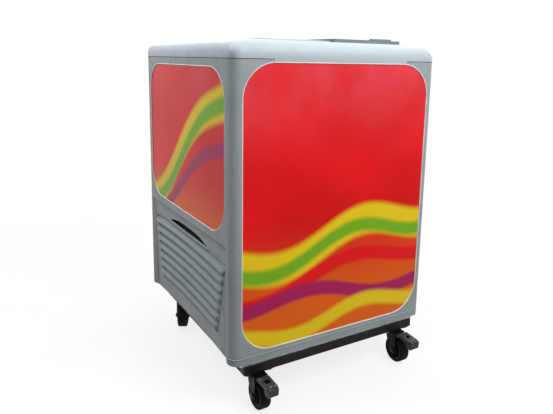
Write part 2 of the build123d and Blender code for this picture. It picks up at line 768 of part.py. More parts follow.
def make_tub_liner():
    """Tub with rounded corners, a bevelled floor edge, a rim flange and the drain hole."""
    rim = FOAM_TOP_Z + LINER_WALL
    with BuildPart() as liner:
        with BuildSketch(level(TUB_FLOOR_Z - LINER_WALL)):
            RectangleRounded(TUB_WIDTH + 2 * LINER_WALL, TUB_DEPTH + 2 * LINER_WALL, TUB_RADIUS + LINER_WALL)
        extrude(amount=rim - TUB_FLOOR_Z + LINER_WALL)
        chamfer(liner.faces().sort_by(Axis.Z)[0].edges(), TUB_FLOOR_BEVEL)
        offset(amount=-LINER_WALL, openings=liner.faces().sort_by(Axis.Z)[-1])
        with BuildSketch(level(FOAM_TOP_Z)):
            RectangleRounded(TUB_WIDTH + 2 * LINER_FLANGE, TUB_DEPTH + 2 * LINER_FLANGE, TUB_RADIUS)
            RectangleRounded(TUB_WIDTH + LINER_WALL, TUB_DEPTH + LINER_WALL, TUB_RADIUS, mode=Mode.SUBTRACT)
        extrude(amount=LINER_WALL)
        with Locations(Location((DRAIN_X, DRAIN_Y, TUB_FLOOR_Z))):
            Hole(DRAIN_RADIUS, depth=LINER_WALL)
    return liner


def make_drain_tube():
    """Drain from the tub floor through the foam and the base pan to an open spout."""
    top = TUB_FLOOR_Z - LINER_WALL
    with BuildPart() as tube:
        with BuildSketch(Plane((DRAIN_X, DRAIN_Y, top))):
            Circle(DRAIN_RADIUS + DRAIN_WALL)
            Circle(DRAIN_RADIUS, mode=Mode.SUBTRACT)
        extrude(amount=FRAME_TOP - DRAIN_SPOUT - top)
    return tube


def make_drain_plug():
    """Rubber plug: tapered stopper, flange on the tub floor and a pull knob."""
    stopper = 8.0
    stopper_taper = 1.0
    flange = 3.0
    flange_reach = 5.0
    neck = 4.0
    knob_height = 10.0
    knob_radius = 6.0
    seat = TUB_FLOOR_Z + JOINT_GAP
    flange_top = seat + flange
    with BuildPart() as plug:
        with BuildSketch(Plane.XZ):
            with BuildLine():
                Polyline(
                    (0, TUB_FLOOR_Z - stopper),
                    (DRAIN_RADIUS - stopper_taper, TUB_FLOOR_Z - stopper),
                    (DRAIN_RADIUS - JOINT_GAP, seat),
                    (DRAIN_RADIUS + flange_reach, seat),
                    (DRAIN_RADIUS + flange_reach - stopper_taper, flange_top),
                    (neck, flange_top + stopper_taper),
                    (neck, flange_top + neck),
                    (knob_radius, flange_top + knob_height),
                    (0, flange_top + knob_height + stopper_taper),
                    close=True,
                )
            make_face()
        revolve(axis=Axis.Z)
    return plug


# Top frame
def crown_lines(half_span, centre, foot):
    """Lines of the top frame across one direction: uprights, elliptical crowns and a level top."""
    shoulder = JOINT_Z + CROWN_UPRIGHT
    rise = CROWN_RISE - CROWN_UPRIGHT
    low, high = centre - half_span, centre + half_span
    Line((low, foot), (low, shoulder))
    EllipticalCenterArc((low + CROWN_INSET, shoulder), CROWN_INSET, rise, 90, arc_size=90)
    Line((low + CROWN_INSET, CROWN_Z), (high - CROWN_INSET, CROWN_Z))
    EllipticalCenterArc((high - CROWN_INSET, shoulder), CROWN_INSET, rise, 0, arc_size=90)
    Line((high, shoulder), (high, foot))
    Line((high, foot), (low, foot))


def make_top_frame():
    """Moulded top frame with its crown, apron, two-step lid tracks, throat and hollow underside."""
    corner_fill = CORNER_RADIUS - TOP_CAVITY_INSET
    with BuildPart() as frame:
        with BuildSketch(level(JOINT_Z)):
            RectangleRounded(WIDTH, DEPTH, CORNER_RADIUS)
        extrude(amount=CROWN_RISE)
        with BuildSketch(side_view(0)):
            with BuildLine():
                crown_lines(DEPTH / 2, MID_Y, JOINT_Z)
            make_face()
        extrude(amount=WIDTH / 2, both=True, mode=Mode.INTERSECT)
        with BuildSketch(rear_view(MID_Y)):
            with BuildLine():
                crown_lines(WIDTH / 2, 0, JOINT_Z)
            make_face()
        extrude(amount=DEPTH / 2, both=True, mode=Mode.INTERSECT)
        # underside cavity
        with BuildSketch(level(JOINT_Z)):
            Rectangle(WIDTH - 2 * TOP_CAVITY_INSET, DEPTH - 2 * TOP_CAVITY_INSET)
            Rectangle(THROAT_WIDTH + 2 * THROAT_WALL, 2 * (THROAT_Y + THROAT_WALL), mode=Mode.SUBTRACT)
            with GridLocations(WIDTH - 2 * TOP_CAVITY_INSET, DEPTH - 2 * TOP_CAVITY_INSET, 2, 2):
                Rectangle(corner_fill, corner_fill, rotation=45, mode=Mode.SUBTRACT)
        extrude(amount=TOP_CAVITY, mode=Mode.SUBTRACT)
        # throat into the tub
        with BuildSketch(level(JOINT_Z)):
            RectangleRounded(THROAT_WIDTH, 2 * THROAT_Y, THROAT_RADIUS)
        extrude(amount=CROWN_RISE, mode=Mode.SUBTRACT)
        # well of the lids: ribs, outer tracks, then the inner tracks
        with BuildSketch(level(CROWN_Z)):
            Rectangle(WELL_WIDTH, 2 * CROWN_Y)
        extrude(amount=-RIB_DROP, mode=Mode.SUBTRACT)
        with BuildSketch(level(CROWN_Z)):
            with GridLocations(0, 2 * CROWN_Y - UPPER_TRACK, 1, 2):
                Rectangle(WELL_WIDTH, UPPER_TRACK)
        extrude(amount=-UPPER_TRACK_DROP, mode=Mode.SUBTRACT)
        with BuildSketch(level(CROWN_Z)):
            Rectangle(WELL_WIDTH, 2 * LOWER_WELL_Y)
        extrude(amount=-LOWER_TRACK_DROP, mode=Mode.SUBTRACT)
        # apron that hangs over the top edge of the front panel
        with BuildSketch(rear_view(FRONT_Y)):
            with BuildLine():
                Polyline(
                    (-APRON_HALF - APRON_SLANT, JOINT_Z),
                    (-APRON_HALF, JOINT_Z - APRON_DROP),
                    (APRON_HALF, JOINT_Z - APRON_DROP),
                    (APRON_HALF + APRON_SLANT, JOINT_Z),
                    close=True,
                )
            make_face()
        extrude(amount=-(SKIN - JOINT_GAP))
    return frame


# Front frame, rear posts and side frames
def wrap_shell(low_y, high_y, half_width):
    """Upright skin of the cabinet between two depths, kept where |x| is more than half_width."""
    with BuildPart() as shell:
        with BuildSketch(level(SKIRT_Z)):
            RectangleRounded(WIDTH, DEPTH, CORNER_RADIUS)
            RectangleRounded(WIDTH - 2 * SKIN, DEPTH - 2 * SKIN, CORNER_RADIUS - SKIN, mode=Mode.SUBTRACT)
        extrude(amount=BODY_HEIGHT)
        with BuildSketch(Plane((0, (low_y + high_y) / 2, SKIRT_Z))):
            Rectangle(WIDTH, high_y - low_y)
            if half_width:
                Rectangle(2 * half_width, high_y - low_y, mode=Mode.SUBTRACT)
        extrude(amount=BODY_HEIGHT, mode=Mode.INTERSECT)
    return shell


def make_front_frame():
    """One moulding: both front corner posts, the plinth with its bead and the rounded panel window."""
    window_foot = SKIRT_Z + PLINTH_HEIGHT
    window_top = JOINT_Z - APRON_DROP
    rear = FRONT_Y + POST_WRAP
    web_mid = WIDTH / 2 - (SIDE_CAVITY + SKIN) / 2
    bead_z = SKIRT_Z + BEAD_HEIGHT
    bead_end = rear - 1.0
    shell = wrap_shell(FRONT_Y, rear, 0)
    with BuildPart() as frame:
        add(shell.part)
        with BuildSketch(Plane((0, rear - SKIN / 2, SKIRT_Z))):
            with GridLocations(2 * web_mid, 0, 2, 1):
                Rectangle(SIDE_CAVITY - SKIN, SKIN)
        extrude(amount=BODY_HEIGHT)
        with BuildSketch(rear_view(FRONT_Y + SKIN)):
            with Locations((0, (window_foot + window_top) / 2)):
                RectangleRounded(WIDTH - 2 * FRONT_BORDER, window_top - window_foot, FRONT_PANEL_RADIUS)
            with BuildLine():
                Polyline(
                    (-APRON_HALF - APRON_SLANT - JOINT_GAP, JOINT_Z),
                    (-APRON_HALF - JOINT_GAP, window_top - JOINT_GAP),
                    (APRON_HALF + JOINT_GAP, window_top - JOINT_GAP),
                    (APRON_HALF + APRON_SLANT + JOINT_GAP, JOINT_Z),
                    close=True,
                )
            make_face()
        extrude(amount=SKIN, mode=Mode.SUBTRACT)
        with BuildLine() as bead:
            FilletPolyline(
                (-WIDTH / 2, bead_end, bead_z),
                (-WIDTH / 2, FRONT_Y, bead_z),
                (WIDTH / 2, FRONT_Y, bead_z),
                (WIDTH / 2, bead_end, bead_z),
                radius=CORNER_RADIUS,
            )
        with BuildSketch(Plane(bead.line @ 0, z_dir=bead.line % 0)):
            RegularPolygon(BEAD_RADIUS, HEX_SIDES)
        sweep(path=bead.line)
    return frame


def make_rear_post():
    """Left rear corner post: a rounded angle with return webs onto the jacket."""
    front = REAR_Y - POST_WRAP
    inner_x = WIDTH / 2 - REAR_POST_WIDTH
    shell = wrap_shell(front, REAR_Y, inner_x)
    with BuildPart() as post:
        add(shell.part)
        with BuildSketch(Plane((-WIDTH / 2 + (SIDE_CAVITY + SKIN) / 2, front + SKIN / 2, SKIRT_Z))):
            Rectangle(SIDE_CAVITY - SKIN, SKIN)
        extrude(amount=BODY_HEIGHT)
        with BuildSketch(Plane((-inner_x - SKIN / 2, REAR_Y - (REAR_RECESS + SKIN) / 2, SKIRT_Z))):
            Rectangle(SKIN, REAR_RECESS - SKIN)
        extrude(amount=BODY_HEIGHT)
        split(bisect_by=Plane.YZ, keep=Keep.BOTTOM)
    return post


def make_side_frame():
    """Left side frame: a tray with the panel pocket, stiffening ribs and the fold over the grille."""
    height = JOINT_Z - FOLD_Z
    mid = FOLD_Z + height / 2
    outer = -WIDTH / 2
    fold_radius = 5.0
    rib_wall = 2.5
    rib_spacing = 96.0
    ribs = 6
    panel_height = height - SIDE_PANEL_TOP - SIDE_PANEL_FOOT
    panel_mid = FOLD_Z + SIDE_PANEL_FOOT + panel_height / 2
    with BuildPart() as frame:
        with BuildSketch(side_view(outer)):
            with Locations((MID_Y, mid)):
                Rectangle(SIDE_LENGTH, height)
        extrude(amount=SIDE_CAVITY)
        fold = frame.edges().filter_by(Axis.Y).group_by(Axis.Z)[0].sort_by(Axis.X)[0]
        fillet(fold, fold_radius)
        with BuildSketch(side_view(-JACKET_HALF)):
            with Locations((MID_Y, mid)):
                Rectangle(SIDE_LENGTH - 2 * SKIN, height - 2 * SKIN)
                with GridLocations(rib_spacing, 0, ribs, 1):
                    Rectangle(rib_wall, height, mode=Mode.SUBTRACT)
        extrude(amount=-(SIDE_CAVITY - SIDE_WALL), mode=Mode.SUBTRACT)
        with BuildSketch(side_view(outer)):
            with Locations((MID_Y, panel_mid)):
                RectangleRounded(SIDE_LENGTH - 2 * SIDE_PANEL_MARGIN, panel_height, SIDE_PANEL_RADIUS)
        extrude(amount=SIDE_POCKET, mode=Mode.SUBTRACT)
    return frame


def make_side_panel():
    """Printed sheet in the pocket of the left side frame."""
    height = JOINT_Z - FOLD_Z - SIDE_PANEL_TOP - SIDE_PANEL_FOOT
    mid = FOLD_Z + SIDE_PANEL_FOOT + height / 2
    with BuildPart() as panel:
        with BuildSketch(side_view(SIDE_POCKET - WIDTH / 2)):
            with Locations((MID_Y, mid)):
                RectangleRounded(
                    SIDE_LENGTH - 2 * SIDE_PANEL_MARGIN - 2 * PANEL_GAP,
                    height - 2 * PANEL_GAP,
                    SIDE_PANEL_RADIUS - PANEL_GAP,
                )
        extrude(amount=-PANEL_SHEET)
    return panel


def make_front_panel():
    """Printed sheet in the window of the front frame, on the jacket."""
    foot = SKIRT_Z + PLINTH_HEIGHT + PANEL_GAP
    top = JOINT_Z - APRON_DROP - PANEL_GAP
    with BuildPart() as panel:
        with BuildSketch(rear_view(JACKET_FRONT)):
            with Locations((0, (foot + top) / 2)):
                RectangleRounded(
                    WIDTH - 2 * FRONT_BORDER - 2 * PANEL_GAP, top - foot, FRONT_PANEL_RADIUS - PANEL_GAP
                )
        extrude(amount=PANEL_SHEET)
    return panel


def band_lines(length, height, width):
    """Band between two shallow arcs across the side of the cabinet, with upright ends."""
    low, high = MID_Y - length / 2, MID_Y + length / 2
    top, foot = height + width / 2, height - width / 2
    ThreePointArc((low, top - SLOT_SAG), (MID_Y, top), (high, top - SLOT_SAG))
    Line((high, top - SLOT_SAG), (high, foot - SLOT_SAG))
    ThreePointArc((high, foot - SLOT_SAG), (MID_Y, foot), (low, foot - SLOT_SAG))
    Line((low, foot - SLOT_SAG), (low, top - SLOT_SAG))


def slot_length(row):
    """Length of the opening in a row of the grille, or between rows: the field narrows downwards."""
    margin = TOP_SLOT_MARGIN + (BOTTOM_SLOT_MARGIN - TOP_SLOT_MARGIN) * row / (SLOT_COUNT - 1)
    return SIDE_LENGTH - 2 * margin


def make_grille():
    """Left grille: arched slots between convex slats, a finger recess and an arched lower edge."""
    outer = GRILLE_SETBACK - WIDTH / 2
    depth = SIDE_CAVITY - GRILLE_SETBACK
    half = SIDE_LENGTH / 2
    top = FOLD_Z
    slat_height = SLOT_PITCH - SLOT_HEIGHT - SLAT_SHOULDER
    finger_z = SKIRT_Z + FINGER_HEIGHT
    finger_half = FINGER_LENGTH / 2
    with BuildPart() as grille:
        with BuildSketch(side_view(outer)):
            with BuildLine():
                Polyline(
                    (MID_Y - half, SKIRT_Z), (MID_Y - half, top), (MID_Y + half, top), (MID_Y + half, SKIRT_Z)
                )
                ThreePointArc((MID_Y - half, SKIRT_Z), (MID_Y, SKIRT_Z + GRILLE_ARCH), (MID_Y + half, SKIRT_Z))
            make_face()
        extrude(amount=depth)
        with BuildSketch(side_view(-JACKET_HALF)):
            with Locations((MID_Y, (SKIRT_Z + AIR_BOTTOM + top - SKIN) / 2)):
                Rectangle(2 * half - 2 * SKIN, top - SKIN - SKIRT_Z - AIR_BOTTOM)
        extrude(amount=-(depth - SKIN), mode=Mode.SUBTRACT)
        for row in range(SLOT_COUNT):
            slot_z = SKIRT_Z + TOP_SLOT_HEIGHT - row * SLOT_PITCH
            with BuildSketch(side_view(outer)):
                with BuildLine():
                    band_lines(slot_length(row), slot_z, SLOT_HEIGHT)
                make_face()
            extrude(amount=depth, mode=Mode.SUBTRACT)
        for row in range(SLOT_COUNT - 1):
            slat_z = SKIRT_Z + TOP_SLOT_HEIGHT - (row + 0.5) * SLOT_PITCH
            with BuildSketch(side_view(outer)):
                with BuildLine():
                    band_lines(slot_length(row + 0.5), slat_z, slat_height)
                make_face()
            extrude(amount=-SLAT_BULGE)
        crests = grille.faces().filter_by(Axis.X).group_by(Axis.X)[0]
        chamfer(crests.edges(), SLAT_EDGE)
        with BuildSketch(side_view(outer)):
            with BuildLine():
                ThreePointArc(
                    (MID_Y - finger_half, finger_z - FINGER_SAG),
                    (MID_Y, finger_z),
                    (MID_Y + finger_half, finger_z - FINGER_SAG),
                )
                ThreePointArc(
                    (MID_Y + finger_half, finger_z - FINGER_SAG),
                    (MID_Y, finger_z + FINGER_OPENING),
                    (MID_Y - finger_half, finger_z - FINGER_SAG),
                )
            make_face()
        extrude(amount=depth, mode=Mode.SUBTRACT)
        with BuildSketch(side_view(outer)):
            with BuildLine():
                ThreePointArc(
                    (MID_Y - finger_half, finger_z - FINGER_SAG),
                    (MID_Y, finger_z),
                    (MID_Y + finger_half, finger_z - FINGER_SAG),
                )
                ThreePointArc(
                    (MID_Y + finger_half, finger_z - FINGER_SAG),
                    (MID_Y, finger_z - LIP_HEIGHT),
                    (MID_Y - finger_half, finger_z - FINGER_SAG),
                )
            make_face()
        extrude(amount=-LIP_HEIGHT)
    return grille


# Lids
def lid_frame(base, wall, depth, runner_foot):
    """Lid frame: rails and borders round the glass pocket, with a runner under each rail."""
    with BuildPart() as frame:
        with BuildSketch(level(base)):
            Rectangle(LID_WIDTH, depth)
            Rectangle(LID_WIDTH - 2 * LID_BORDER, depth - 2 * LID_RAIL, mode=Mode.SUBTRACT)
        extrude(amount=wall)
        with BuildSketch(level(base + GLASS_FLOOR)):
            Rectangle(
                LID_WIDTH - 2 * LID_BORDER + 2 * GLASS_LAP, depth - 2 * LID_RAIL + 2 * GLASS_LAP
            )
        extrude(amount=wall, mode=Mode.SUBTRACT)
        with BuildSketch(level(runner_foot)):
            with GridLocations(0, depth - RUNNER_WIDTH, 1, 2):
                Rectangle(LID_WIDTH, RUNNER_WIDTH)
        extrude(amount=base - runner_foot)
    return frame


def lid_glass(base, depth):
    """Glass pane in the pocket of a lid frame."""
    with BuildPart() as glass:
        with BuildSketch(level(base + GLASS_FLOOR)):
            Rectangle(
                LID_WIDTH - 2 * LID_BORDER + 2 * GLASS_LAP - 2 * PANEL_GAP,
                depth - 2 * LID_RAIL + 2 * GLASS_LAP - 2 * PANEL_GAP,
            )
        extrude(amount=GLASS_WALL)
    return glass


LOWER_LID_DEPTH = 2 * (LOWER_WELL_Y - LID_SIDE_GAP)
UPPER_LID_DEPTH = 2 * (CROWN_Y - LID_SIDE_GAP)


def make_lower_lid_frame():
    """Left lid: its runners slide on the inner tracks, and a finger pull is sunk in its front rail."""
    frame = lid_frame(LOWER_LID_Z, LOWER_LID_WALL, LOWER_LID_DEPTH, LOWER_TRACK_Z + GLIDE_GAP)
    with BuildPart() as lid:
        add(frame.part)
        with BuildSketch(Plane((0, MID_Y - LOWER_LID_DEPTH / 2 + PULL_FROM_EDGE, LOWER_LID_TOP_Z))):
            SlotOverall(PULL_LENGTH, PULL_WIDTH)
        extrude(amount=-PULL_DEPTH, mode=Mode.SUBTRACT)
    return lid


def make_upper_lid_grip():
    """Raised grip on the front rail of the right lid."""
    x = LID_WIDTH / 2 - GRIP_FROM_END - GRIP_LENGTH / 2
    y = MID_Y - UPPER_LID_DEPTH / 2 + GRIP_WIDTH / 2
    with BuildPart() as grip:
        with BuildSketch(Plane((x, y, UPPER_LID_TOP_Z))):
            grip_outline = Rectangle(GRIP_LENGTH, GRIP_WIDTH)
            chamfer(grip_outline.vertices(), GRIP_CORNER)
        extrude(amount=GRIP_HEIGHT, taper=GRIP_TAPER)
    return grip


def rod_grid(plane, width, height, columns, rows):
    """Flat grid of square rod on a plane, width by height over all."""
    rod = 2 * ROD_RADIUS
    with BuildPart() as grid:
        with BuildSketch(plane):
            with GridLocations((width - rod) / (columns - 1), 0, columns, 1):
                Rectangle(rod, height)
            with GridLocations(0, (height - rod) / (rows - 1), 1, rows):
                Rectangle(width, rod)
        extrude(amount=rod)
    return grid


def make_hanging_basket():
    """Basket of welded rod: floor, front, rear and end grids, and a ladder of hooks along each ledge."""
    rod = 2 * ROD_RADIUS
    half_x = THROAT_WIDTH / 2 - BASKET_SIDE_GAP - rod
    half_y = BASKET_DEPTH / 2
    hook_x = (THROAT_WIDTH + WELL_WIDTH) / 4
    reach = hook_x - half_x
    foot = LOWER_TRACK_Z + ROD_RADIUS - BASKET_HEIGHT
    wall_height = LOWER_TRACK_Z - WELD_GAP - foot
    wall_z = foot + wall_height / 2
    inner_x = 2 * (half_x - WELD_GAP)
    inner_y = 2 * (half_y - WELD_GAP)
    floor = rod_grid(Plane.XY.offset(foot), inner_x, inner_y, BASKET_COLUMNS, BASKET_HOOKS)
    front_plane = Plane((0, -half_y, wall_z), x_dir=(1, 0, 0), z_dir=(0, -1, 0))
    front = rod_grid(front_plane, 2 * (half_x + rod), wall_height, BASKET_COLUMNS, BASKET_ROWS)
    end_plane = Plane((-half_x, 0, wall_z), x_dir=(0, -1, 0), z_dir=(-1, 0, 0))
    end = rod_grid(end_plane, inner_y, wall_height, BASKET_HOOKS, BASKET_ROWS)
    hook_plane = Plane((half_x + reach / 2, 0, LOWER_TRACK_Z))
    hooks = rod_grid(hook_plane, reach + rod, 2 * (half_y + rod), 2, BASKET_HOOKS)
    with BuildPart() as basket:
        add(floor.part)
        for grid, about in ((front, Plane.XZ), (end, Plane.YZ), (hooks, Plane.YZ)):
            add(grid.part)
            mirror(grid.part, about=about)
    return basket


# Machine compartment
COMPRESSOR_Y = REAR_Y - COMPRESSOR_FROM_REAR
SHELL_FOOT_Z = PAN_FLOOR_Z + FOOT_HEIGHT
STUB_Z = SHELL_FOOT_Z + FOOT_PLATE + STUB_HEIGHT
CONDENSER_X = -JACKET_HALF + JACKET_WALL + CONDENSER_FROM_JACKET
CONDENSER_Y = FRONT_Y + CONDENSER_FROM_FRONT
CONDENSER_MID_X = CONDENSER_X + CONDENSER_WALL / 2
TUBE_PITCH = CONDENSER_HEIGHT / CONDENSER_TUBES
CONDENSER_FOOT = PAN_FLOOR_Z
FAN_Z = CONDENSER_FOOT + CONDENSER_HEIGHT / 2
SHROUD_X = CONDENSER_X + CONDENSER_WALL + JOINT_GAP
FAN_X = SHROUD_X + FAN_FROM_SHROUD
MOTOR_X = FAN_X + MOTOR_FROM_FAN


def make_compressor():
    """Hermetic compressor: welded dome shell, foot plate and the stub of its discharge pipe."""
    dome = 24.0
    shoulder = 14.0
    bowl_inset = 20.0
    bowl_rise = 24.0
    plate_corner = 12.0
    stub_wall = 1.5
    cap_radius = (COMPRESSOR_RADIUS**2 + dome**2) / (2 * dome)
    low = SHELL_FOOT_Z + FOOT_PLATE
    high = low + COMPRESSOR_HEIGHT
    with BuildPart() as compressor:
        with BuildSketch(Plane.XZ) as profile:
            with BuildLine():
                Line((0, low), (COMPRESSOR_RADIUS - bowl_inset, low))
                Line((COMPRESSOR_RADIUS - bowl_inset, low), (COMPRESSOR_RADIUS, low + bowl_rise))
                Line((COMPRESSOR_RADIUS, low + bowl_rise), (COMPRESSOR_RADIUS, high - dome))
                RadiusArc((COMPRESSOR_RADIUS, high - dome), (0, high), -cap_radius)
                Line((0, high), (0, low))
            make_face()
            fillet(profile.vertices().group_by(Axis.X)[-1].sort_by(Axis.Y)[-1], shoulder)
        revolve(axis=Axis.Z)
        with BuildSketch(Plane.XY.offset(SHELL_FOOT_Z)):
            foot_outline = Rectangle(
                FOOT_SPACING_X + 2 * FOOT_PLATE_MARGIN, FOOT_SPACING_Y + 2 * FOOT_PLATE_MARGIN
            )
            chamfer(foot_outline.vertices(), plate_corner)
        extrude(amount=FOOT_PLATE)
        with BuildSketch(side_view(0)):
            with Locations((0, STUB_Z)):
                Circle(PIPE_RADIUS + stub_wall)
        extrude(amount=-COMPRESSOR_RADIUS - STUB_LENGTH)
    return compressor


def make_terminal_box():
    """Moulded terminal box, shaped to the side of the compressor's shell."""
    rise = 40.0
    length = 60.0
    height = 62.0
    depth = 26.0
    corner = 6.0
    with BuildPart() as box:
        with BuildSketch(Plane.XY.offset(SHELL_FOOT_Z + FOOT_PLATE + rise)):
            with Locations((COMPRESSOR_RADIUS, 0)):
                Rectangle(2 * depth, length)
            Circle(COMPRESSOR_RADIUS, mode=Mode.SUBTRACT)
        extrude(amount=height)
        fillet(box.edges().filter_by(Axis.Z).sort_by(Axis.X)[-2:], corner)
    return box


def make_compressor_mounts():
    """Four waisted rubber feet under the foot plate."""
    radius = 13.0
    waist = 10.0
    with BuildPart() as foot:
        with BuildSketch(Plane.XZ):
            with BuildLine():
                Polyline(
                    (0, 0),
                    (radius, 0),
                    (waist, FOOT_HEIGHT / 2),
                    (radius, FOOT_HEIGHT),
                    (0, FOOT_HEIGHT),
                    close=True,
                )
            make_face()
        revolve(axis=Axis.Z)
    with BuildPart() as mounts:
        with Locations(Location((COMPRESSOR_X, COMPRESSOR_Y, PAN_FLOOR_Z))):
            with GridLocations(FOOT_SPACING_X, FOOT_SPACING_Y, 2, 2):
                add(foot.part)
    return mounts


def make_condenser():
    """Fin-and-tube condenser that stands on the pan behind the left grille."""
    tube_start = CONDENSER_Y - CONDENSER_DEPTH / 2 - TUBE_OVERHANG
    with BuildPart() as condenser:
        with BuildSketch(Plane((CONDENSER_MID_X, CONDENSER_Y, CONDENSER_FOOT))):
            with GridLocations(0, CONDENSER_DEPTH / (CONDENSER_FINS - 1), 1, CONDENSER_FINS):
                Rectangle(CONDENSER_WALL, FIN_WALL)
        extrude(amount=CONDENSER_HEIGHT)
        with BuildSketch(Plane((CONDENSER_MID_X, tube_start, FAN_Z), (1, 0, 0), (0, 1, 0))):
            with GridLocations(0, TUBE_PITCH, 1, CONDENSER_TUBES):
                RegularPolygon(TUBE_RADIUS, HEX_SIDES)
        extrude(amount=CONDENSER_DEPTH + 2 * TUBE_OVERHANG)
    return condenser


def make_fan_shroud():
    """Shroud plate behind the condenser, with the fan ring and a three-armed motor carrier."""
    arms = 3
    arm = 10.0
    arm_wall = 3.0
    arm_lap = 2.0
    ring_depth = 20.0
    ring = FAN_RADIUS + FAN_TIP_GAP
    first_arm = 90
    facing = Plane((SHROUD_X, CONDENSER_Y, FAN_Z), x_dir=(0, 1, 0), z_dir=(1, 0, 0))
    with BuildPart() as shroud:
        with BuildSketch(facing):
            Rectangle(CONDENSER_DEPTH, CONDENSER_HEIGHT)
            Circle(ring, mode=Mode.SUBTRACT)
        extrude(amount=SHROUD_WALL)
        with BuildSketch(facing):
            Circle(ring + SHROUD_WALL)
            Circle(ring, mode=Mode.SUBTRACT)
        extrude(amount=ring_depth)
        with BuildSketch(facing.offset(MOTOR_X - SHROUD_X - arm_wall)):
            with PolarLocations((MOTOR_RADIUS + ring) / 2, arms, first_arm):
                Rectangle(ring - MOTOR_RADIUS + 2 * arm_lap, arm)
            Circle(MOTOR_RADIUS)
            Circle(SHAFT_RADIUS + arm_wall, mode=Mode.SUBTRACT)
        extrude(amount=arm_wall)
        with BuildSketch(facing.offset(ring_depth)):
            with PolarLocations(ring + SHROUD_WALL / 2, arms, first_arm):
                Rectangle(SHROUD_WALL, arm)
        extrude(amount=MOTOR_X - SHROUD_X - ring_depth)
    return shroud


def make_fan_motor():
    """Fan motor behind the carrier, with its shaft through the hub of the fan."""
    rear_bevel = 4.0
    shaft_past_fan = 6.0
    facing = Plane((MOTOR_X, CONDENSER_Y, FAN_Z), x_dir=(0, 1, 0), z_dir=(1, 0, 0))
    with BuildPart() as motor:
        with BuildSketch(facing):
            Circle(MOTOR_RADIUS)
        extrude(amount=MOTOR_LENGTH)
        chamfer(motor.edges().group_by(Axis.X)[-1], rear_bevel)
        with BuildSketch(facing):
            Circle(SHAFT_RADIUS)
        extrude(amount=-MOTOR_FROM_FAN - shaft_past_fan)
    return motor


def make_fan_blade():
    """Fan: hub with pitched blades."""
    hub_radius = 16.0
    hub_depth = 14.0
    blade_wall = 1.6
    chord = 26.0
    tip_chord = 40.0
    root_lap = 2.0
    quarter = 90
    facing = Plane((FAN_X, CONDENSER_Y, FAN_Z), x_dir=(0, 1, 0), z_dir=(1, 0, 0))
    with BuildPart() as blade:
        with BuildSketch(Plane(origin=(0, 0, hub_radius - root_lap))):
            Rectangle(chord, blade_wall, rotation=quarter - FAN_PITCH)
        with BuildSketch(Plane(origin=(0, 0, FAN_RADIUS))):
            Rectangle(tip_chord, blade_wall, rotation=quarter - FAN_PITCH / 2)
        loft()
    with BuildPart() as fan:
        with BuildSketch(facing.offset(-hub_depth / 2)):
            Circle(hub_radius)
            Circle(SHAFT_RADIUS + RUNNING_FIT, mode=Mode.SUBTRACT)
        extrude(amount=hub_depth)
        for index in range(FAN_BLADES):
            angle = index * 360 / FAN_BLADES
            with Locations(Location((FAN_X, CONDENSER_Y, FAN_Z), (angle, 0, 0))):
                add(blade.part)
    return fan


def make_filter_drier():
    """Copper filter drier, lying behind the condenser."""
    radius = 9.5
    neck = 12.0
    neck_radius = 4.0
    with BuildPart() as drier:
        with BuildSketch(Plane.XY):
            with BuildLine():
                Polyline(
                    (0, 0),
                    (0, neck_radius),
                    (neck, radius),
                    (DRIER_LENGTH - neck, radius),
                    (DRIER_LENGTH, neck_radius),
                    (DRIER_LENGTH, 0),
                    close=True,
                )
            make_face()
        revolve(axis=Axis.X)
    return drier


DRIER_PLACE = Location((DRIER_X, REAR_Y - DRIER_FROM_REAR, PAN_FLOOR_Z + DRIER_HEIGHT))


def make_refrigerant_pipes():
    """Discharge, liquid, suction and capillary lines between the machines and the tub, and the drier."""
    stub_x = COMPRESSOR_X - COMPRESSOR_RADIUS - STUB_LENGTH
    tube_end = CONDENSER_Y + CONDENSER_DEPTH / 2 + TUBE_OVERHANG
    drier = DRIER_PLACE.position
    drier_end = drier.X + DRIER_LENGTH
    crest = SHELL_FOOT_Z + COMPRESSOR_HEIGHT + CREST_RISE
    shell_top = SHELL_FOOT_Z + FOOT_PLATE + COMPRESSOR_HEIGHT
    discharge = [
        (stub_x, COMPRESSOR_Y, STUB_Z),
        (stub_x - DISCHARGE_RUN, COMPRESSOR_Y, STUB_Z),
        (stub_x - DISCHARGE_RUN, COMPRESSOR_Y, FAN_Z + TUBE_PITCH),
        (CONDENSER_MID_X, COMPRESSOR_Y, FAN_Z + TUBE_PITCH),
        (CONDENSER_MID_X, tube_end, FAN_Z + TUBE_PITCH),
    ]
    liquid = [
        (CONDENSER_MID_X, tube_end, FAN_Z - TUBE_PITCH),
        (CONDENSER_MID_X, drier.Y, FAN_Z - TUBE_PITCH),
        (CONDENSER_MID_X + LIQUID_RUN, drier.Y, FAN_Z - TUBE_PITCH),
        (CONDENSER_MID_X + LIQUID_RUN, drier.Y, drier.Z),
        (drier.X, drier.Y, drier.Z),
    ]
    suction = [
        (0, suction_y(), PARTITION_Z),
        (0, suction_y(), crest),
        (COMPRESSOR_X, suction_y(), crest),
        (COMPRESSOR_X, COMPRESSOR_Y, crest),
        (COMPRESSOR_X, COMPRESSOR_Y, shell_top),
    ]
    capillary = [
        (drier_end, drier.Y, drier.Z),
        (drier_end + CAPILLARY_RUN, drier.Y, drier.Z),
        (drier_end + CAPILLARY_RUN, drier.Y, PARTITION_Z),
    ]
    with BuildPart() as pipes:
        for route in (discharge, liquid, suction):
            add(swept_tube(route, PIPE_BEND, PIPE_RADIUS).part)
        add(swept_tube(capillary, PIPE_BEND, PIPE_RADIUS / 2).part)
        with Locations(DRIER_PLACE):
            add(make_filter_drier().part)
    return pipes


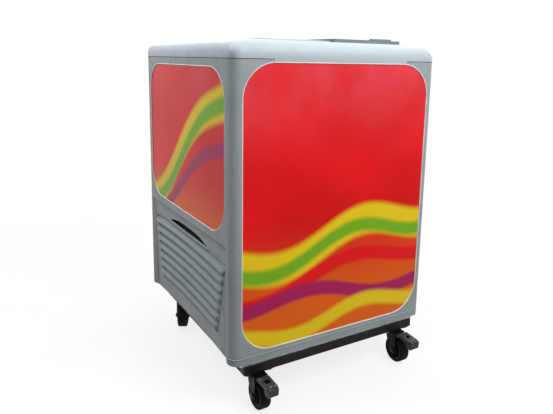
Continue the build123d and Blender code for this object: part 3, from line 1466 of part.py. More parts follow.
# Rear cover
COVER_Y = JACKET_REAR
COVER_FACE_Y = COVER_Y + COVER_WALL
COVER_MID_Z = SKIRT_Z + COVER_FOOT + COVER_HEIGHT / 2
CONTROL_Z = SKIRT_Z + COVER_FOOT + COVER_HEIGHT - KNOB_FROM_TOP
GLAND_Z = SKIRT_Z + COVER_FOOT + GLAND_HEIGHT


def make_rear_cover():
    """Service cover with two columns of vents and the openings of the thermostat and the gland."""
    with BuildPart() as cover:
        with BuildSketch(rear_view(COVER_Y)):
            with Locations((0, COVER_MID_Z)):
                RectangleRounded(COVER_WIDTH, COVER_HEIGHT, COVER_CORNER)
                with GridLocations(VENT_LENGTH + VENT_GAP, 3 * VENT_HEIGHT, 2, VENT_ROWS):
                    Rectangle(VENT_LENGTH, VENT_HEIGHT, mode=Mode.SUBTRACT)
            with Locations((KNOB_X, CONTROL_Z)):
                Circle(SHAFT_RADIUS + JOINT_GAP, mode=Mode.SUBTRACT)
            with Locations((GLAND_X, GLAND_Z)):
                Circle(GLAND_BARREL, mode=Mode.SUBTRACT)
        extrude(amount=-COVER_WALL)
    return cover


def make_rear_cover_screws():
    """Pan-head screws along the laps of the rear cover; their shanks are hidden in the sheets."""
    with BuildPart() as screws:
        with BuildSketch(rear_view(COVER_FACE_Y)):
            with Locations(*cover_screw_places()):
                Circle(SCREW_HEAD_RADIUS)
        extrude(amount=-SCREW_HEAD)
    return screws


def make_cord_gland():
    """Cord gland in the rear cover: flange, barrel and the bore that the mains cord passes."""
    with BuildPart() as gland:
        with BuildSketch(rear_view(COVER_FACE_Y)):
            with Locations((GLAND_X, GLAND_Z)):
                Circle(GLAND_FLANGE)
        extrude(amount=-GLAND_FLANGE_WALL)
        with BuildSketch(rear_view(COVER_FACE_Y)):
            with Locations((GLAND_X, GLAND_Z)):
                Circle(GLAND_BARREL)
        extrude(amount=GLAND_BARREL_LENGTH)
        with BuildSketch(rear_view(COVER_FACE_Y + GLAND_FLANGE_WALL)):
            with Locations((GLAND_X, GLAND_Z)):
                Circle(GLAND_BORE)
        extrude(amount=GLAND_FLANGE_WALL + GLAND_BARREL_LENGTH, mode=Mode.SUBTRACT)
    return gland


def make_thermostat_body():
    """Thermostat switch on the inside of the cover, with its spindle through it."""
    width = 44.0
    height = 34.0
    depth = 26.0
    corner = 4.0
    with BuildPart() as body:
        with BuildSketch(rear_view(COVER_Y)):
            with Locations((KNOB_X, CONTROL_Z)):
                RectangleRounded(width, height, corner)
        extrude(amount=depth)
        with BuildSketch(rear_view(COVER_Y)):
            with Locations((KNOB_X, CONTROL_Z)):
                Circle(SHAFT_RADIUS)
        extrude(amount=-COVER_WALL - SPINDLE_LENGTH)
    return body


def make_thermostat_knob():
    """Fluted knob with a pointer rib, on the spindle."""
    foot = COVER_FACE_Y + JOINT_GAP
    flutes = 8
    flute = 3.0
    flute_inset = 1.0
    pointer = 3.0
    pointer_rise = 2.0
    with BuildPart() as knob:
        with BuildSketch(rear_view(foot)):
            with Locations((KNOB_X, CONTROL_Z)):
                Circle(KNOB_RADIUS)
                with PolarLocations(KNOB_RADIUS + flute_inset, flutes):
                    RegularPolygon(flute, HEX_SIDES, mode=Mode.SUBTRACT)
        extrude(amount=pointer_rise - KNOB_DEPTH)
        with BuildSketch(rear_view(foot)):
            with Locations((KNOB_X, CONTROL_Z + KNOB_RADIUS / 3)):
                Rectangle(pointer, KNOB_RADIUS)
        extrude(amount=-KNOB_DEPTH)
        with BuildSketch(rear_view(foot)):
            with Locations((KNOB_X, CONTROL_Z)):
                Circle(SHAFT_RADIUS + RUNNING_FIT)
        extrude(amount=-SPINDLE_LENGTH, mode=Mode.SUBTRACT)
    return knob


# Trolley and casters
write(make_trolley_frame(), "trolley_frame")
write(make_trolley_bolts(), "trolley_bolts")
caster_plate = make_caster_plate()
king_pin = make_king_pin()
with BuildPart() as caster_plates:
    with Locations(Location((0, FRAME_MID_Y, 0))):
        with GridLocations(2 * CASTER_X, CASTER_REAR_Y - CASTER_FRONT_Y, 2, 2):
            add(caster_plate.part)
            add(king_pin.part)
write(caster_plates, "caster_plates")
braked_fork = make_fork(True)
plain_fork = make_fork(False)
caster_pieces = {
    "wheel_hub": make_wheel_hub(),
    "tyre": make_tyre(),
    "axle": make_axle(),
}
for corner, place in CASTER_PLACES.items():
    fork = braked_fork if corner.startswith("front") else plain_fork
    write_at(fork, f"fork_{corner}", place)
    for piece, builder in caster_pieces.items():
        write_at(builder, f"{piece}_{corner}", place)
brake_lever = make_brake_lever()
foot_pad = make_foot_pad()
for corner in ("front_left", "front_right"):
    write_at(brake_lever, f"brake_lever_{corner}", CASTER_PLACES[corner])
    write_at(foot_pad, f"foot_pad_{corner}", CASTER_PLACES[corner])

# Cabinet
write(make_base_pan(), "base_pan")
write(make_cabinet_jacket(), "cabinet_jacket")
write(make_foam_insulation(), "foam_insulation")
write(make_tub_liner(), "tub_liner")
write(make_evaporator_coil(), "evaporator_coil")
write(make_drain_tube(), "drain_tube")
write_at(make_drain_plug(), "drain_plug", Location((DRAIN_X, DRAIN_Y, 0)))
write(make_top_frame(), "top_frame")
write(make_front_frame(), "front_frame")
rear_post = make_rear_post()
write(rear_post, "rear_post_left")
write_mirrored(rear_post, "rear_post_right")
side_frame = make_side_frame()
write(side_frame, "side_frame_left")
write_mirrored(side_frame, "side_frame_right")
grille = make_grille()
write(grille, "grille_left")
write_mirrored(grille, "grille_right")
write(make_front_panel(), "front_panel")
side_panel = make_side_panel()
write(side_panel, "side_panel_left")
write_mirrored(side_panel, "side_panel_right")
write(make_rear_cover(), "rear_cover")
write(make_rear_cover_screws(), "rear_cover_screws")
write(make_cord_gland(), "cord_gland")
write(make_thermostat_body(), "thermostat_body")
write(make_thermostat_knob(), "thermostat_knob")

# Lids and basket
lower_place = Location((-LID_OFFSET, 0, 0))
upper_place = Location((LID_OFFSET, 0, 0))
upper_frame = lid_frame(UPPER_LID_Z, UPPER_LID_WALL, UPPER_LID_DEPTH, UPPER_TRACK_Z + GLIDE_GAP)
write_at(make_lower_lid_frame(), "lower_lid_frame", lower_place)
write_at(lid_glass(LOWER_LID_Z, LOWER_LID_DEPTH), "lower_lid_glass", lower_place)
write_at(upper_frame, "upper_lid_frame", upper_place)
write_at(lid_glass(UPPER_LID_Z, UPPER_LID_DEPTH), "upper_lid_glass", upper_place)
write_at(make_upper_lid_grip(), "upper_lid_grip", upper_place)
basket_y = MID_Y - THROAT_Y + BASKET_END_GAP + BASKET_DEPTH / 2 + 2 * ROD_RADIUS
write_at(make_hanging_basket(), "hanging_basket", Location((0, basket_y, 0)))

# Machine compartment
write_at(make_compressor(), "compressor", Location((COMPRESSOR_X, COMPRESSOR_Y, 0)))
write_at(make_terminal_box(), "terminal_box", Location((COMPRESSOR_X, COMPRESSOR_Y, 0)))
write(make_compressor_mounts(), "compressor_mounts")
write(make_condenser(), "condenser")
write(make_fan_shroud(), "fan_shroud")
write(make_fan_motor(), "fan_motor")
write(make_fan_blade(), "fan_blade")
write(make_refrigerant_pipes(), "refrigerant_pipes")
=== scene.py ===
"""Looks of a chest freezer on a wheeled trolley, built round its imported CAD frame."""

import json
import math

import bmesh
import bpy
from mathutils import Matrix, Vector


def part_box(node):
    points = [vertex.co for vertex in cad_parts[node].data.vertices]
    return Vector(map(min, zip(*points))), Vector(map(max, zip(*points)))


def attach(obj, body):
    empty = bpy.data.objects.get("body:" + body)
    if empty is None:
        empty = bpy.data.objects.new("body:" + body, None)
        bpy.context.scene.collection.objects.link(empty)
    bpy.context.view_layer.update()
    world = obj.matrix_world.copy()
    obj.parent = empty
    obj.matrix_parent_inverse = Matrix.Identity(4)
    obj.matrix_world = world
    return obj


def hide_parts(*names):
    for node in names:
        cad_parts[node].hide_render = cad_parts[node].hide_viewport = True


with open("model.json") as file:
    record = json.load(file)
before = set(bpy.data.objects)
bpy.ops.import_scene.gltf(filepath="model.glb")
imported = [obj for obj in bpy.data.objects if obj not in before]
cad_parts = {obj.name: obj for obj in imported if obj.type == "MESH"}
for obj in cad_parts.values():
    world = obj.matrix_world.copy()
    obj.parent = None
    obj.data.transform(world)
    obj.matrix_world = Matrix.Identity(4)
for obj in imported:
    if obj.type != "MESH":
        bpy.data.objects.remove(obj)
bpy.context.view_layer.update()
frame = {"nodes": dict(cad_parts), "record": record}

# The photograph's camera: place in metres, angles in degrees, image sizes in pixels and the
# sensor's width in millimetres
CAMERA_PLACE = Vector((-0.8970, -1.5023, 0.9398))
CAMERA_YAW = 31.369
CAMERA_PITCH = 10.524
CAMERA_ROLL = 1.166
FOCAL_PIXELS = 551.33
PRINCIPAL_X = 290.80
PRINCIPAL_Y = 161.61
IMAGE_WIDTH = 553
IMAGE_HEIGHT = 414
SENSOR = 36.0

CORNERS = ("front_left", "front_right", "rear_left", "rear_right")
FRONT_CORNERS = ("front_left", "front_right")
SIDE_SIGNS = {"left": -1, "right": 1}

# Casters, in metres; the rear ones are turned by REAR_TURN degrees
WHEEL_RADIUS = 0.040
WHEEL_HALF = 0.016
RIM_RADIUS = 0.030
TRAIL = 0.033
CASTER_X = 0.248
CASTER_FRONT_Y = -0.2655
CASTER_REAR_Y = 0.2785
REAR_TURN = -28.0
WHEEL_CENTRE = Vector((0, -TRAIL, WHEEL_RADIUS))
WHEEL_AXIS = Vector((1, 0, 0))

# Outer face of the rear cover
REAR_FACE = 0.3697

# Grilles: distances of their layers from the middle, and the height of the brow over the slots
GRILLE_FACE = 0.3245
BLADE_ROOT = 0.3243
BROW_BACK = 0.3246
BROW_FACE = 0.3256
BROW_EDGE = 0.3322
BROW_HEAD = 0.4549

# Crescent finger recess: its middle and half length along the side, the height of its chord,
# its rise over the chord, and the power that blunts its ends
FINGER_MIDDLE = 0.030
FINGER_HALF = 0.160
FINGER_CHORD = 0.4140
FINGER_RISE = 0.0198
FINGER_BLUNTNESS = 3

# Lamps: name, place, aim, width in metres and power in watts
LAMPS = (
    ("key_lamp", (0.35, -1.75, 2.05), (0, -0.2, 0.6), 1.3, 44),
    ("top_lamp", (0, 0, 2.9), (0, 0, 0.6), 1.6, 12),
    ("side_lamp", (-1.45, 0.5, 2.2), (0, 0, 0.55), 1.1, 26),
    ("right_lamp", (1.9, 0.3, 1.6), (0, 0, 0.5), 1.3, 15),
    ("rear_lamp", (0.5, 2.3, 1.6), (0, 0, 0.5), 1.4, 23),
)


def srgb(red, green, blue):
    """Linear colour of a screen colour from 0 to 255."""

    def linear(value):
        share = value / 255
        return share / 12.92 if share <= 0.04045 else ((share + 0.055) / 1.055) ** 2.4

    return (linear(red), linear(green), linear(blue), 1.0)


# Colours, as they show under plain light
SHELL_GREY = srgb(158, 168, 171)
SHELL_STAIN = srgb(132, 140, 142)
TOP_GREY = srgb(190, 202, 208)
TOP_STAIN = srgb(176, 184, 187)
LIP_PALE = srgb(236, 238, 232)
PRINT_RED = srgb(238, 14, 20)
PRINT_DEEP_RED = srgb(222, 8, 10)
PRINT_ORANGE = srgb(240, 112, 12)
# painted reflection: pink that the upper print is mixed towards, standing in for the sheen on its
# gloss
PRINT_PAINTED_SHEEN = srgb(232, 84, 96)
PRINT_YELLOW = srgb(244, 210, 26)
PRINT_GREEN = srgb(122, 182, 30)
PRINT_MAGENTA = srgb(176, 24, 92)
LID_GREY = srgb(120, 124, 138)
LID_PALE = srgb(196, 198, 204)
PAINT_BLACK = srgb(15, 15, 17)
RUST = srgb(98, 52, 36)
BARE_STEEL = srgb(150, 150, 152)
ZINC = srgb(168, 168, 170)
ZINC_DULL = srgb(120, 120, 120)
CASTER_BLACK = srgb(14, 14, 16)
HUB_BLACK = srgb(16, 16, 18)
RUBBER_BLACK = srgb(13, 13, 14)
DUST = srgb(96, 92, 86)
LEVER_GREY = srgb(60, 62, 63)
PAD_BLUE_BLACK = srgb(36, 42, 56)
JACKET_WHITE = srgb(206, 209, 208)
GALVANISED = srgb(176, 180, 182)
GALVANISED_DARK = srgb(138, 142, 145)
FOAM_YELLOW = srgb(226, 208, 150)
LINER_SILVER = srgb(222, 226, 228)
LINER_DULL = srgb(196, 200, 203)
COPPER = srgb(196, 118, 84)
COPPER_DULL = srgb(120, 70, 50)
DRAIN_WHITE = srgb(220, 220, 214)
PLUG_GREY = srgb(58, 58, 60)
MACHINE_BLACK = srgb(28, 28, 29)
MACHINE_GREY = srgb(56, 57, 60)
WIRE_WHITE = srgb(236, 238, 238)
FLOOR_PALE = srgb(126, 126, 125)
FLOOR_MOTTLE = srgb(122, 122, 121)
GLASS_TINT = (0.93, 0.97, 0.96, 1)
WHITE = (1, 1, 1, 1)
BLACK = (0, 0, 0, 1)


# Node helpers: each returns the output socket of what it adds
def place_on(tree, stretch=(1, 1, 1)):
    """The object's own coordinates in metres, stretched per axis."""
    source = tree.nodes.new("ShaderNodeTexCoord").outputs["Object"]
    mapping = tree.nodes.new("ShaderNodeMapping")
    mapping.inputs["Scale"].default_value = stretch
    tree.links.new(source, mapping.inputs["Vector"])
    return mapping.outputs["Vector"]


def noise(tree, size, detail, stretch=(1, 1, 1)):
    """Noise whose features are about that size in metres."""
    texture = tree.nodes.new("ShaderNodeTexNoise")
    texture.inputs["Scale"].default_value = 1 / size
    texture.inputs["Detail"].default_value = detail
    tree.links.new(place_on(tree, stretch), texture.inputs["Vector"])
    return texture.outputs["Fac"]


def cells(tree, size, feature="F1"):
    """Cell pattern of that size in metres."""
    texture = tree.nodes.new("ShaderNodeTexVoronoi")
    texture.feature = feature
    texture.inputs["Scale"].default_value = 1 / size
    tree.links.new(place_on(tree), texture.inputs["Vector"])
    return texture.outputs["Distance"]


def ranged(tree, value, low, high, start=0.35, end=0.65, soft=True):
    """value mapped from start..end to low..high, held at the ends."""
    made = tree.nodes.new("ShaderNodeMapRange")
    made.interpolation_type = "SMOOTHSTEP" if soft else "LINEAR"
    made.inputs["From Min"].default_value = start
    made.inputs["From Max"].default_value = end
    made.inputs["To Min"].default_value = low
    made.inputs["To Max"].default_value = high
    tree.links.new(value, made.inputs["Value"])
    return made.outputs["Result"]


def calculated(tree, operation, first, second=0.0):
    """One math node; first and second are sockets or numbers."""
    made = tree.nodes.new("ShaderNodeMath")
    made.operation = operation
    for index, value in enumerate((first, second)):
        if isinstance(value, (int, float)):
            made.inputs[index].default_value = value
        else:
            tree.links.new(value, made.inputs[index])
    return made.outputs["Value"]


def mixed(tree, factor, first, second):
    """Colour from first to second by factor; both are sockets or colours."""
    made = tree.nodes.new("ShaderNodeMix")
    made.data_type = "RGBA"
    factor_input = next(s for s in made.inputs if s.type == "VALUE" and s.name == "Factor")
    colours = [s for s in made.inputs if s.type == "RGBA"]
    tree.links.new(factor, factor_input)
    for socket, value in zip(colours, (first, second)):
        if isinstance(value, tuple):
            socket.default_value = value
        else:
            tree.links.new(value, socket)
    return next(s for s in made.outputs if s.type == "RGBA")


def bumped(tree, height, depth, under=None):
    """Bump of that depth in metres, laid over another one."""
    made = tree.nodes.new("ShaderNodeBump")
    made.inputs["Strength"].default_value = 1.0
    made.inputs["Distance"].default_value = depth
    tree.links.new(height, made.inputs["Height"])
    if under:
        tree.links.new(under, made.inputs["Normal"])
    return made.outputs["Normal"]


def start_material(name, roughness, metallic=0.0):
    """A new material with its tree and its principled shader."""
    material = bpy.data.materials.new(name)
    material.use_nodes = True
    tree = material.node_tree
    shader = tree.nodes["Principled BSDF"]
    shader.inputs["Roughness"].default_value = roughness
    shader.inputs["Metallic"].default_value = metallic
    return material, tree, shader


def moulded(name, colour, stain, roughness, grain=0.0009, blotch=0.09):
    """Moulded plastic: fine spark grain, uneven sheen and faint grime."""
    material, tree, shader = start_material(name, roughness)
    shader.inputs["Specular IOR Level"].default_value = 0.22
    grime = ranged(tree, noise(tree, blotch, 5), 0.0, 0.35, 0.45, 0.75)
    streak = ranged(tree, noise(tree, 0.02, 3, (6, 6, 0.5)), 0.0, 0.2, 0.5, 0.8)
    tint = mixed(tree, grime, colour, stain)
    tree.links.new(mixed(tree, streak, tint, stain), shader.inputs["Base Color"])
    sheen = ranged(tree, noise(tree, 0.03, 4), roughness - 0.06, roughness + 0.1)
    tree.links.new(sheen, shader.inputs["Roughness"])
    tree.links.new(bumped(tree, cells(tree, grain), 0.00003), shader.inputs["Normal"])
    return material


def painted(name, colour, chip_colour, roughness, chips, shine=0.2):
    """Painted steel: orange peel, dust, and chips down to what lies under the paint."""
    material, tree, shader = start_material(name, roughness)
    shader.inputs["Specular IOR Level"].default_value = shine
    chip = ranged(tree, noise(tree, 0.012, 8), 0.0, 1.0, chips, chips + 0.03)
    dust = ranged(tree, noise(tree, 0.07, 5), 0.0, 0.06, 0.45, 0.75)
    tint = mixed(tree, dust, colour, DUST)
    tree.links.new(mixed(tree, chip, tint, chip_colour), shader.inputs["Base Color"])
    rough = ranged(tree, noise(tree, 0.02, 4), roughness - 0.08, roughness + 0.16)
    tree.links.new(calculated(tree, "MAXIMUM", rough, chip), shader.inputs["Roughness"])
    peel = bumped(tree, noise(tree, 0.0016, 2), 0.00004)
    tree.links.new(bumped(tree, chip, -0.0001, peel), shader.inputs["Normal"])
    return material


def plated(name, colour, dull, roughness, spangle=0.006):
    """Bare or plated metal: spangle, fine scratches and dull patches."""
    material, tree, shader = start_material(name, roughness, metallic=1.0)
    patch = ranged(tree, cells(tree, spangle), 0.0, 0.6, 0.1, 0.9)
    cloud = ranged(tree, noise(tree, 0.03, 4), 0.0, 0.7, 0.45, 0.75)
    tint = mixed(tree, patch, colour, dull)
    tree.links.new(mixed(tree, cloud, tint, dull), shader.inputs["Base Color"])
    rough = ranged(tree, noise(tree, 0.004, 4), roughness - 0.08, roughness + 0.18)
    tree.links.new(rough, shader.inputs["Roughness"])
    tree.links.new(bumped(tree, noise(tree, 0.001, 3), 0.00002), shader.inputs["Normal"])
    return material


def rubbery(name, colour, roughness):
    """Rubber: matt, with patches of dust."""
    material, tree, shader = start_material(name, roughness)
    shader.inputs["Specular IOR Level"].default_value = 0.12
    dust = ranged(tree, noise(tree, 0.014, 6), 0.0, 0.1, 0.45, 0.75)
    tree.links.new(mixed(tree, dust, colour, DUST), shader.inputs["Base Color"])
    rough = ranged(tree, noise(tree, 0.006, 4), roughness - 0.1, roughness + 0.12)
    tree.links.new(rough, shader.inputs["Roughness"])
    tree.links.new(bumped(tree, noise(tree, 0.002, 4), 0.00008), shader.inputs["Normal"])
    return material


def ribbon(tree, along, across, centre, swing, length, phase, slope, half, soft):
    """Mask of a waved ribbon: 1 along its line, 0 beyond its half width."""
    turn = calculated(tree, "MULTIPLY_ADD", along, 2 * math.pi / length)
    turn.node.inputs[2].default_value = phase
    line = calculated(tree, "MULTIPLY_ADD", calculated(tree, "SINE", turn), swing)
    line.node.inputs[2].default_value = centre
    line = calculated(tree, "ADD", line, calculated(tree, "MULTIPLY", along, slope))
    away = calculated(tree, "ABSOLUTE", calculated(tree, "SUBTRACT", across, line))
    return ranged(tree, away, 1.0, 0.0, half - soft, half + soft)


def printed(name, axis, design):
    """Glossy printed sheet: a warm ground with waved ribbons, under a clear coat, with a painted
    sheen: its upper part is mixed towards pink for the reflection on the gloss.
    """
    material, tree, shader = start_material(name, 0.4)
    parts = tree.nodes.new("ShaderNodeSeparateXYZ")
    tree.links.new(place_on(tree), parts.inputs["Vector"])
    along, across = parts.outputs[axis], parts.outputs["Z"]
    cloud = ranged(tree, noise(tree, 0.25, 2), 0.0, 1.0)
    ground = mixed(tree, cloud, PRINT_RED, PRINT_DEEP_RED)
    warm = ranged(tree, across, 0.85, 0.0, design["warm_foot"], design["warm_head"])
    ground = mixed(tree, warm, ground, PRINT_ORANGE)
    # Painted reflection: the upper part of the print turns pink, broken up by noise, in place of
    # the sheen on its gloss
    painted_sheen = ranged(tree, across, 0.0, 0.62, design["sheen_foot"], design["sheen_head"])
    sheen_break = ranged(tree, noise(tree, 0.11, 4, (1, 1, 0.8)), 0.35, 1.0, 0.3, 0.7)
    ground = mixed(tree, calculated(tree, "MULTIPLY", painted_sheen, sheen_break), ground, PRINT_PAINTED_SHEEN)
    for colour, *shape in design["ribbons"]:
        ground = mixed(tree, ribbon(tree, along, across, *shape), ground, colour)
    scuff = ranged(tree, noise(tree, 0.004, 6, (1, 1, 3)), 0.0, 0.5, 0.72, 0.8)
    tree.links.new(mixed(tree, scuff, ground, LIP_PALE), shader.inputs["Base Color"])
    shader.inputs["Specular IOR Level"].default_value = 0.1
    shader.inputs["Coat Weight"].default_value = 0.14
    shader.inputs["Coat Roughness"].default_value = 0.08
    ripple = bumped(tree, noise(tree, 0.14, 2), 0.0012)
    tree.links.new(bumped(tree, noise(tree, 0.002, 3), 0.00001, ripple), shader.inputs["Normal"])
    tree.links.new(ripple, shader.inputs["Coat Normal"])
    return material


def glazed(name):
    """Toughened lid glass with a faint tint and smears."""
    material, tree, shader = start_material(name, 0.04)
    shader.inputs["Base Color"].default_value = GLASS_TINT
    shader.inputs["Transmission Weight"].default_value = 1.0
    shader.inputs["IOR"].default_value = 1.5
    smear = ranged(tree, noise(tree, 0.09, 6, (1, 3, 1)), 0.02, 0.22, 0.5, 0.8)
    tree.links.new(smear, shader.inputs["Roughness"])
    tree.links.new(bumped(tree, noise(tree, 0.1, 2), 0.00005), shader.inputs["Normal"])
    return material


def foamed(name):
    """Rigid foam with open cells on its skin."""
    material, tree, shader = start_material(name, 0.9)
    pores = ranged(tree, cells(tree, 0.003), 0.0, 1.0, 0.1, 0.6)
    tree.links.new(mixed(tree, pores, FOAM_YELLOW, LIP_PALE), shader.inputs["Base Color"])
    tree.links.new(bumped(tree, pores, 0.0004), shader.inputs["Normal"])
    return material


def embossed(name):
    """Liner of embossed aluminium: small pebbled dents with soft clouding."""
    material, tree, shader = start_material(name, 0.38, metallic=0.75)
    cloud = ranged(tree, noise(tree, 0.12, 4), 0.0, 1.0)
    tree.links.new(mixed(tree, cloud, LINER_SILVER, LINER_DULL), shader.inputs["Base Color"])
    tree.links.new(ranged(tree, noise(tree, 0.05, 4), 0.3, 0.5), shader.inputs["Roughness"])
    tree.links.new(bumped(tree, cells(tree, 0.007, "SMOOTH_F1"), 0.0004), shader.inputs["Normal"])
    return material


# Printed designs: the heights between which the ground turns warm and takes on a painted pink
# sheen, and per ribbon its colour, centre, swing, length, phase, slope, half width and soft edge,
# in metres and radians
FRONT_PRINT = {
    "warm_foot": 0.22,
    "warm_head": 0.52,
    "sheen_foot": 0.62,
    "sheen_head": 0.93,
    "ribbons": (
        (PRINT_YELLOW, 0.445, 0.034, 0.52, 0.6, 0.12, 0.046, 0.012),
        (PRINT_GREEN, 0.432, 0.034, 0.52, 0.9, 0.12, 0.020, 0.010),
        (PRINT_RED, 0.352, 0.030, 0.58, 1.1, 0.10, 0.022, 0.008),
        (PRINT_MAGENTA, 0.286, 0.020, 0.50, 2.6, -0.05, 0.021, 0.007),
        (PRINT_YELLOW, 0.214, 0.022, 0.46, 0.3, 0.05, 0.022, 0.010),
    ),
}
SIDE_PRINT = {
    "warm_foot": 0.46,
    "warm_head": 0.62,
    "sheen_foot": 0.74,
    "sheen_head": 0.95,
    "ribbons": (
        (PRINT_YELLOW, 0.690, 0.034, 0.60, 2.2, -0.62, 0.046, 0.012),
        (PRINT_GREEN, 0.676, 0.034, 0.60, 2.5, -0.62, 0.022, 0.010),
        (PRINT_MAGENTA, 0.590, 0.028, 0.62, 2.4, -0.50, 0.020, 0.007),
    ),
}

FINISHES = {
    "shell_plastic": moulded("shell_plastic", SHELL_GREY, SHELL_STAIN, 0.46),
    "top_plastic": moulded("top_plastic", TOP_GREY, TOP_STAIN, 0.4),
    # painted highlight: pale plastic for the light caught along the window edges
    "lip_highlight_plastic": moulded("lip_highlight_plastic", LIP_PALE, TOP_STAIN, 0.4),
    "lid_plastic": moulded("lid_plastic", LID_GREY, SHELL_STAIN, 0.42),
    "lid_pale_plastic": moulded("lid_pale_plastic", LID_PALE, TOP_STAIN, 0.42),
    "lid_glass": glazed("lid_glass"),
    "trolley_paint": painted("trolley_paint", PAINT_BLACK, RUST, 0.42, chips=0.66, shine=0.15),
    "fastener_steel": plated("fastener_steel", ZINC, ZINC_DULL, 0.36),
    "caster_steel": painted("caster_steel", CASTER_BLACK, BARE_STEEL, 0.4, chips=0.7, shine=0.1),
    "hub_plastic": moulded("hub_plastic", HUB_BLACK, DUST, 0.5, blotch=0.02),
    "tyre_rubber": rubbery("tyre_rubber", RUBBER_BLACK, 0.7),
    "lever_steel": painted("lever_steel", LEVER_GREY, BARE_STEEL, 0.36, chips=0.62),
    "pad_plastic": moulded("pad_plastic", PAD_BLUE_BLACK, DUST, 0.44, blotch=0.02),
    "jacket_steel": painted("jacket_steel", JACKET_WHITE, BARE_STEEL, 0.36, chips=0.74),
    "galvanised_steel": plated("galvanised_steel", GALVANISED, GALVANISED_DARK, 0.4, spangle=0.012),
    "foam": foamed("foam"),
    "liner_metal": embossed("liner_metal"),
    "copper_tube": plated("copper_tube", COPPER, COPPER_DULL, 0.3),
    "drain_plastic": moulded("drain_plastic", DRAIN_WHITE, TOP_STAIN, 0.4),
    "plug_rubber": rubbery("plug_rubber", PLUG_GREY, 0.6),
    "machine_black": painted("machine_black", MACHINE_BLACK, BARE_STEEL, 0.26, chips=0.74),
    "machine_plastic": moulded("machine_plastic", MACHINE_GREY, DUST, 0.44, blotch=0.03),
    "mount_rubber": rubbery("mount_rubber", RUBBER_BLACK, 0.65),
    "coated_wire": moulded("coated_wire", WIRE_WHITE, TOP_STAIN, 0.34, grain=0.002),
    "seal_rubber": rubbery("seal_rubber", RUBBER_BLACK, 0.55),
    "front_print": printed("front_print", "X", FRONT_PRINT),
    "side_print": printed("side_print", "Y", SIDE_PRINT),
}

# CAD nodes whose finish isn't the one of their slot
OTHER_FINISHES = {
    "front_panel": "front_print",
    **{f"side_panel_{side}": "side_print" for side in SIDE_SIGNS},
    **{f"axle_{corner}": "machine_black" for corner in CORNERS},
}

# Width of the rounding on the sharp edges of CAD nodes, in metres
SOFT_EDGES = {
    **{f"rear_post_{side}": 0.001 for side in SIDE_SIGNS},
    **{f"side_frame_{side}": 0.001 for side in SIDE_SIGNS},
    "trolley_frame": 0.0009,
    "lower_lid_frame": 0.0007,
    "upper_lid_frame": 0.0007,
    "upper_lid_grip": 0.0012,
    **{f"foot_pad_{corner}": 0.0009 for corner in FRONT_CORNERS},
    **{f"fork_{corner}": 0.0006 for corner in CORNERS},
    "caster_plates": 0.0005,
    "rear_cover": 0.0005,
    "rear_cover_screws": 0.0009,
    "trolley_bolts": 0.0006,
    "terminal_box": 0.001,
    "compressor_mounts": 0.001,
    "fan_motor": 0.001,
    "thermostat_body": 0.0008,
    "thermostat_knob": 0.0008,
    "cord_gland": 0.0006,
    "drain_plug": 0.0008,
}
EDGE_STEPS = 2

# Corners nearer than this many metres are one, and faces flatter than this angle are too
JOIN_DISTANCE = 0.000005
FLAT_ANGLE = math.radians(0.4)


def dress_nodes():
    """Each CAD node gets the finish of its material slot, or its own where it has one."""
    for row in frame["record"]["subparts"]:
        name = row["node"]
        finish = FINISHES[OTHER_FINISHES.get(name, row["material_slot"])]
        node = frame["nodes"][name]
        node.data.materials.clear()
        node.data.materials.append(finish)


def soften_nodes():
    """Rounds the sharp edges of CAD nodes by modifiers alone, so that they catch the light."""
    for name, width in SOFT_EDGES.items():
        node = frame["nodes"][name]
        weld = node.modifiers.new("joined", "WELD")
        weld.merge_threshold = JOIN_DISTANCE
        flat = node.modifiers.new("flat_faces", "DECIMATE")
        flat.decimate_type = "DISSOLVE"
        flat.angle_limit = FLAT_ANGLE
        bevel = node.modifiers.new("edges", "BEVEL")
        bevel.width = width
        bevel.segments = EDGE_STEPS
        bevel.limit_method = "ANGLE"
        bevel.angle_limit = math.radians(35)
        bevel.harden_normals = True


# Making of pieces
def placed(name, data):
    """A new object in the scene that shows data."""
    made = bpy.data.objects.new(name, data)
    bpy.context.scene.collection.objects.link(made)
    return made


def mesh_piece(name, build, matrix=None):
    """A mesh object whose shape build(bm) makes."""
    bm = bmesh.new()
    build(bm)
    if matrix:
        bm.transform(matrix)
    bmesh.ops.recalc_face_normals(bm, faces=bm.faces)
    mesh = bpy.data.meshes.new(name)
    bm.to_mesh(mesh)
    bm.free()
    return placed(name, mesh)


def wire_piece(name, paths, radius, closed=False):
    """One curve object of round wires along the given paths."""
    curve = bpy.data.curves.new(name, "CURVE")
    curve.dimensions = "3D"
    curve.bevel_depth = radius
    curve.bevel_resolution = 3
    curve.use_fill_caps = True
    for path in paths:
        spline = curve.splines.new("POLY")
        spline.points.add(len(path) - 1)
        for point, place in zip(spline.points, path):
            point.co = (*place, 1)
        spline.use_cyclic_u = closed
        spline.use_smooth = True
    return placed(name, curve)


def copied_node(name, node):
    """A piece with the mesh of a CAD node, its faces joined along their shared edges."""

    def build(bm):
        bm.from_mesh(frame["nodes"][node].data)
        bmesh.ops.remove_doubles(bm, verts=bm.verts, dist=JOIN_DISTANCE)

    return mesh_piece(name, build)


def finish_piece(piece, body, slot, finish=None):
    """Gives a new piece its finish and the body it moves with."""
    piece.data.materials.clear()
    piece.data.materials.append(FINISHES[finish or slot])
    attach(piece, body)


def shade_by_angle(piece, degrees=35):
    """Keeps the edges sharper than that angle crisp under smooth shading."""
    for face in piece.data.polygons:
        face.use_smooth = True
    piece.data.set_sharp_from_angle(angle=math.radians(degrees))


def cut_by(piece, block, operation):
    """Cuts a piece by a block, settles its shape and removes the block."""
    trim = piece.modifiers.new("trim", "BOOLEAN")
    trim.operation = operation
    trim.solver = "EXACT"
    trim.object = block
    shapes = bpy.context.evaluated_depsgraph_get()
    mesh = bpy.data.meshes.new_from_object(piece.evaluated_get(shapes))
    piece.modifiers.clear()
    piece.data = mesh
    bpy.data.objects.remove(block)


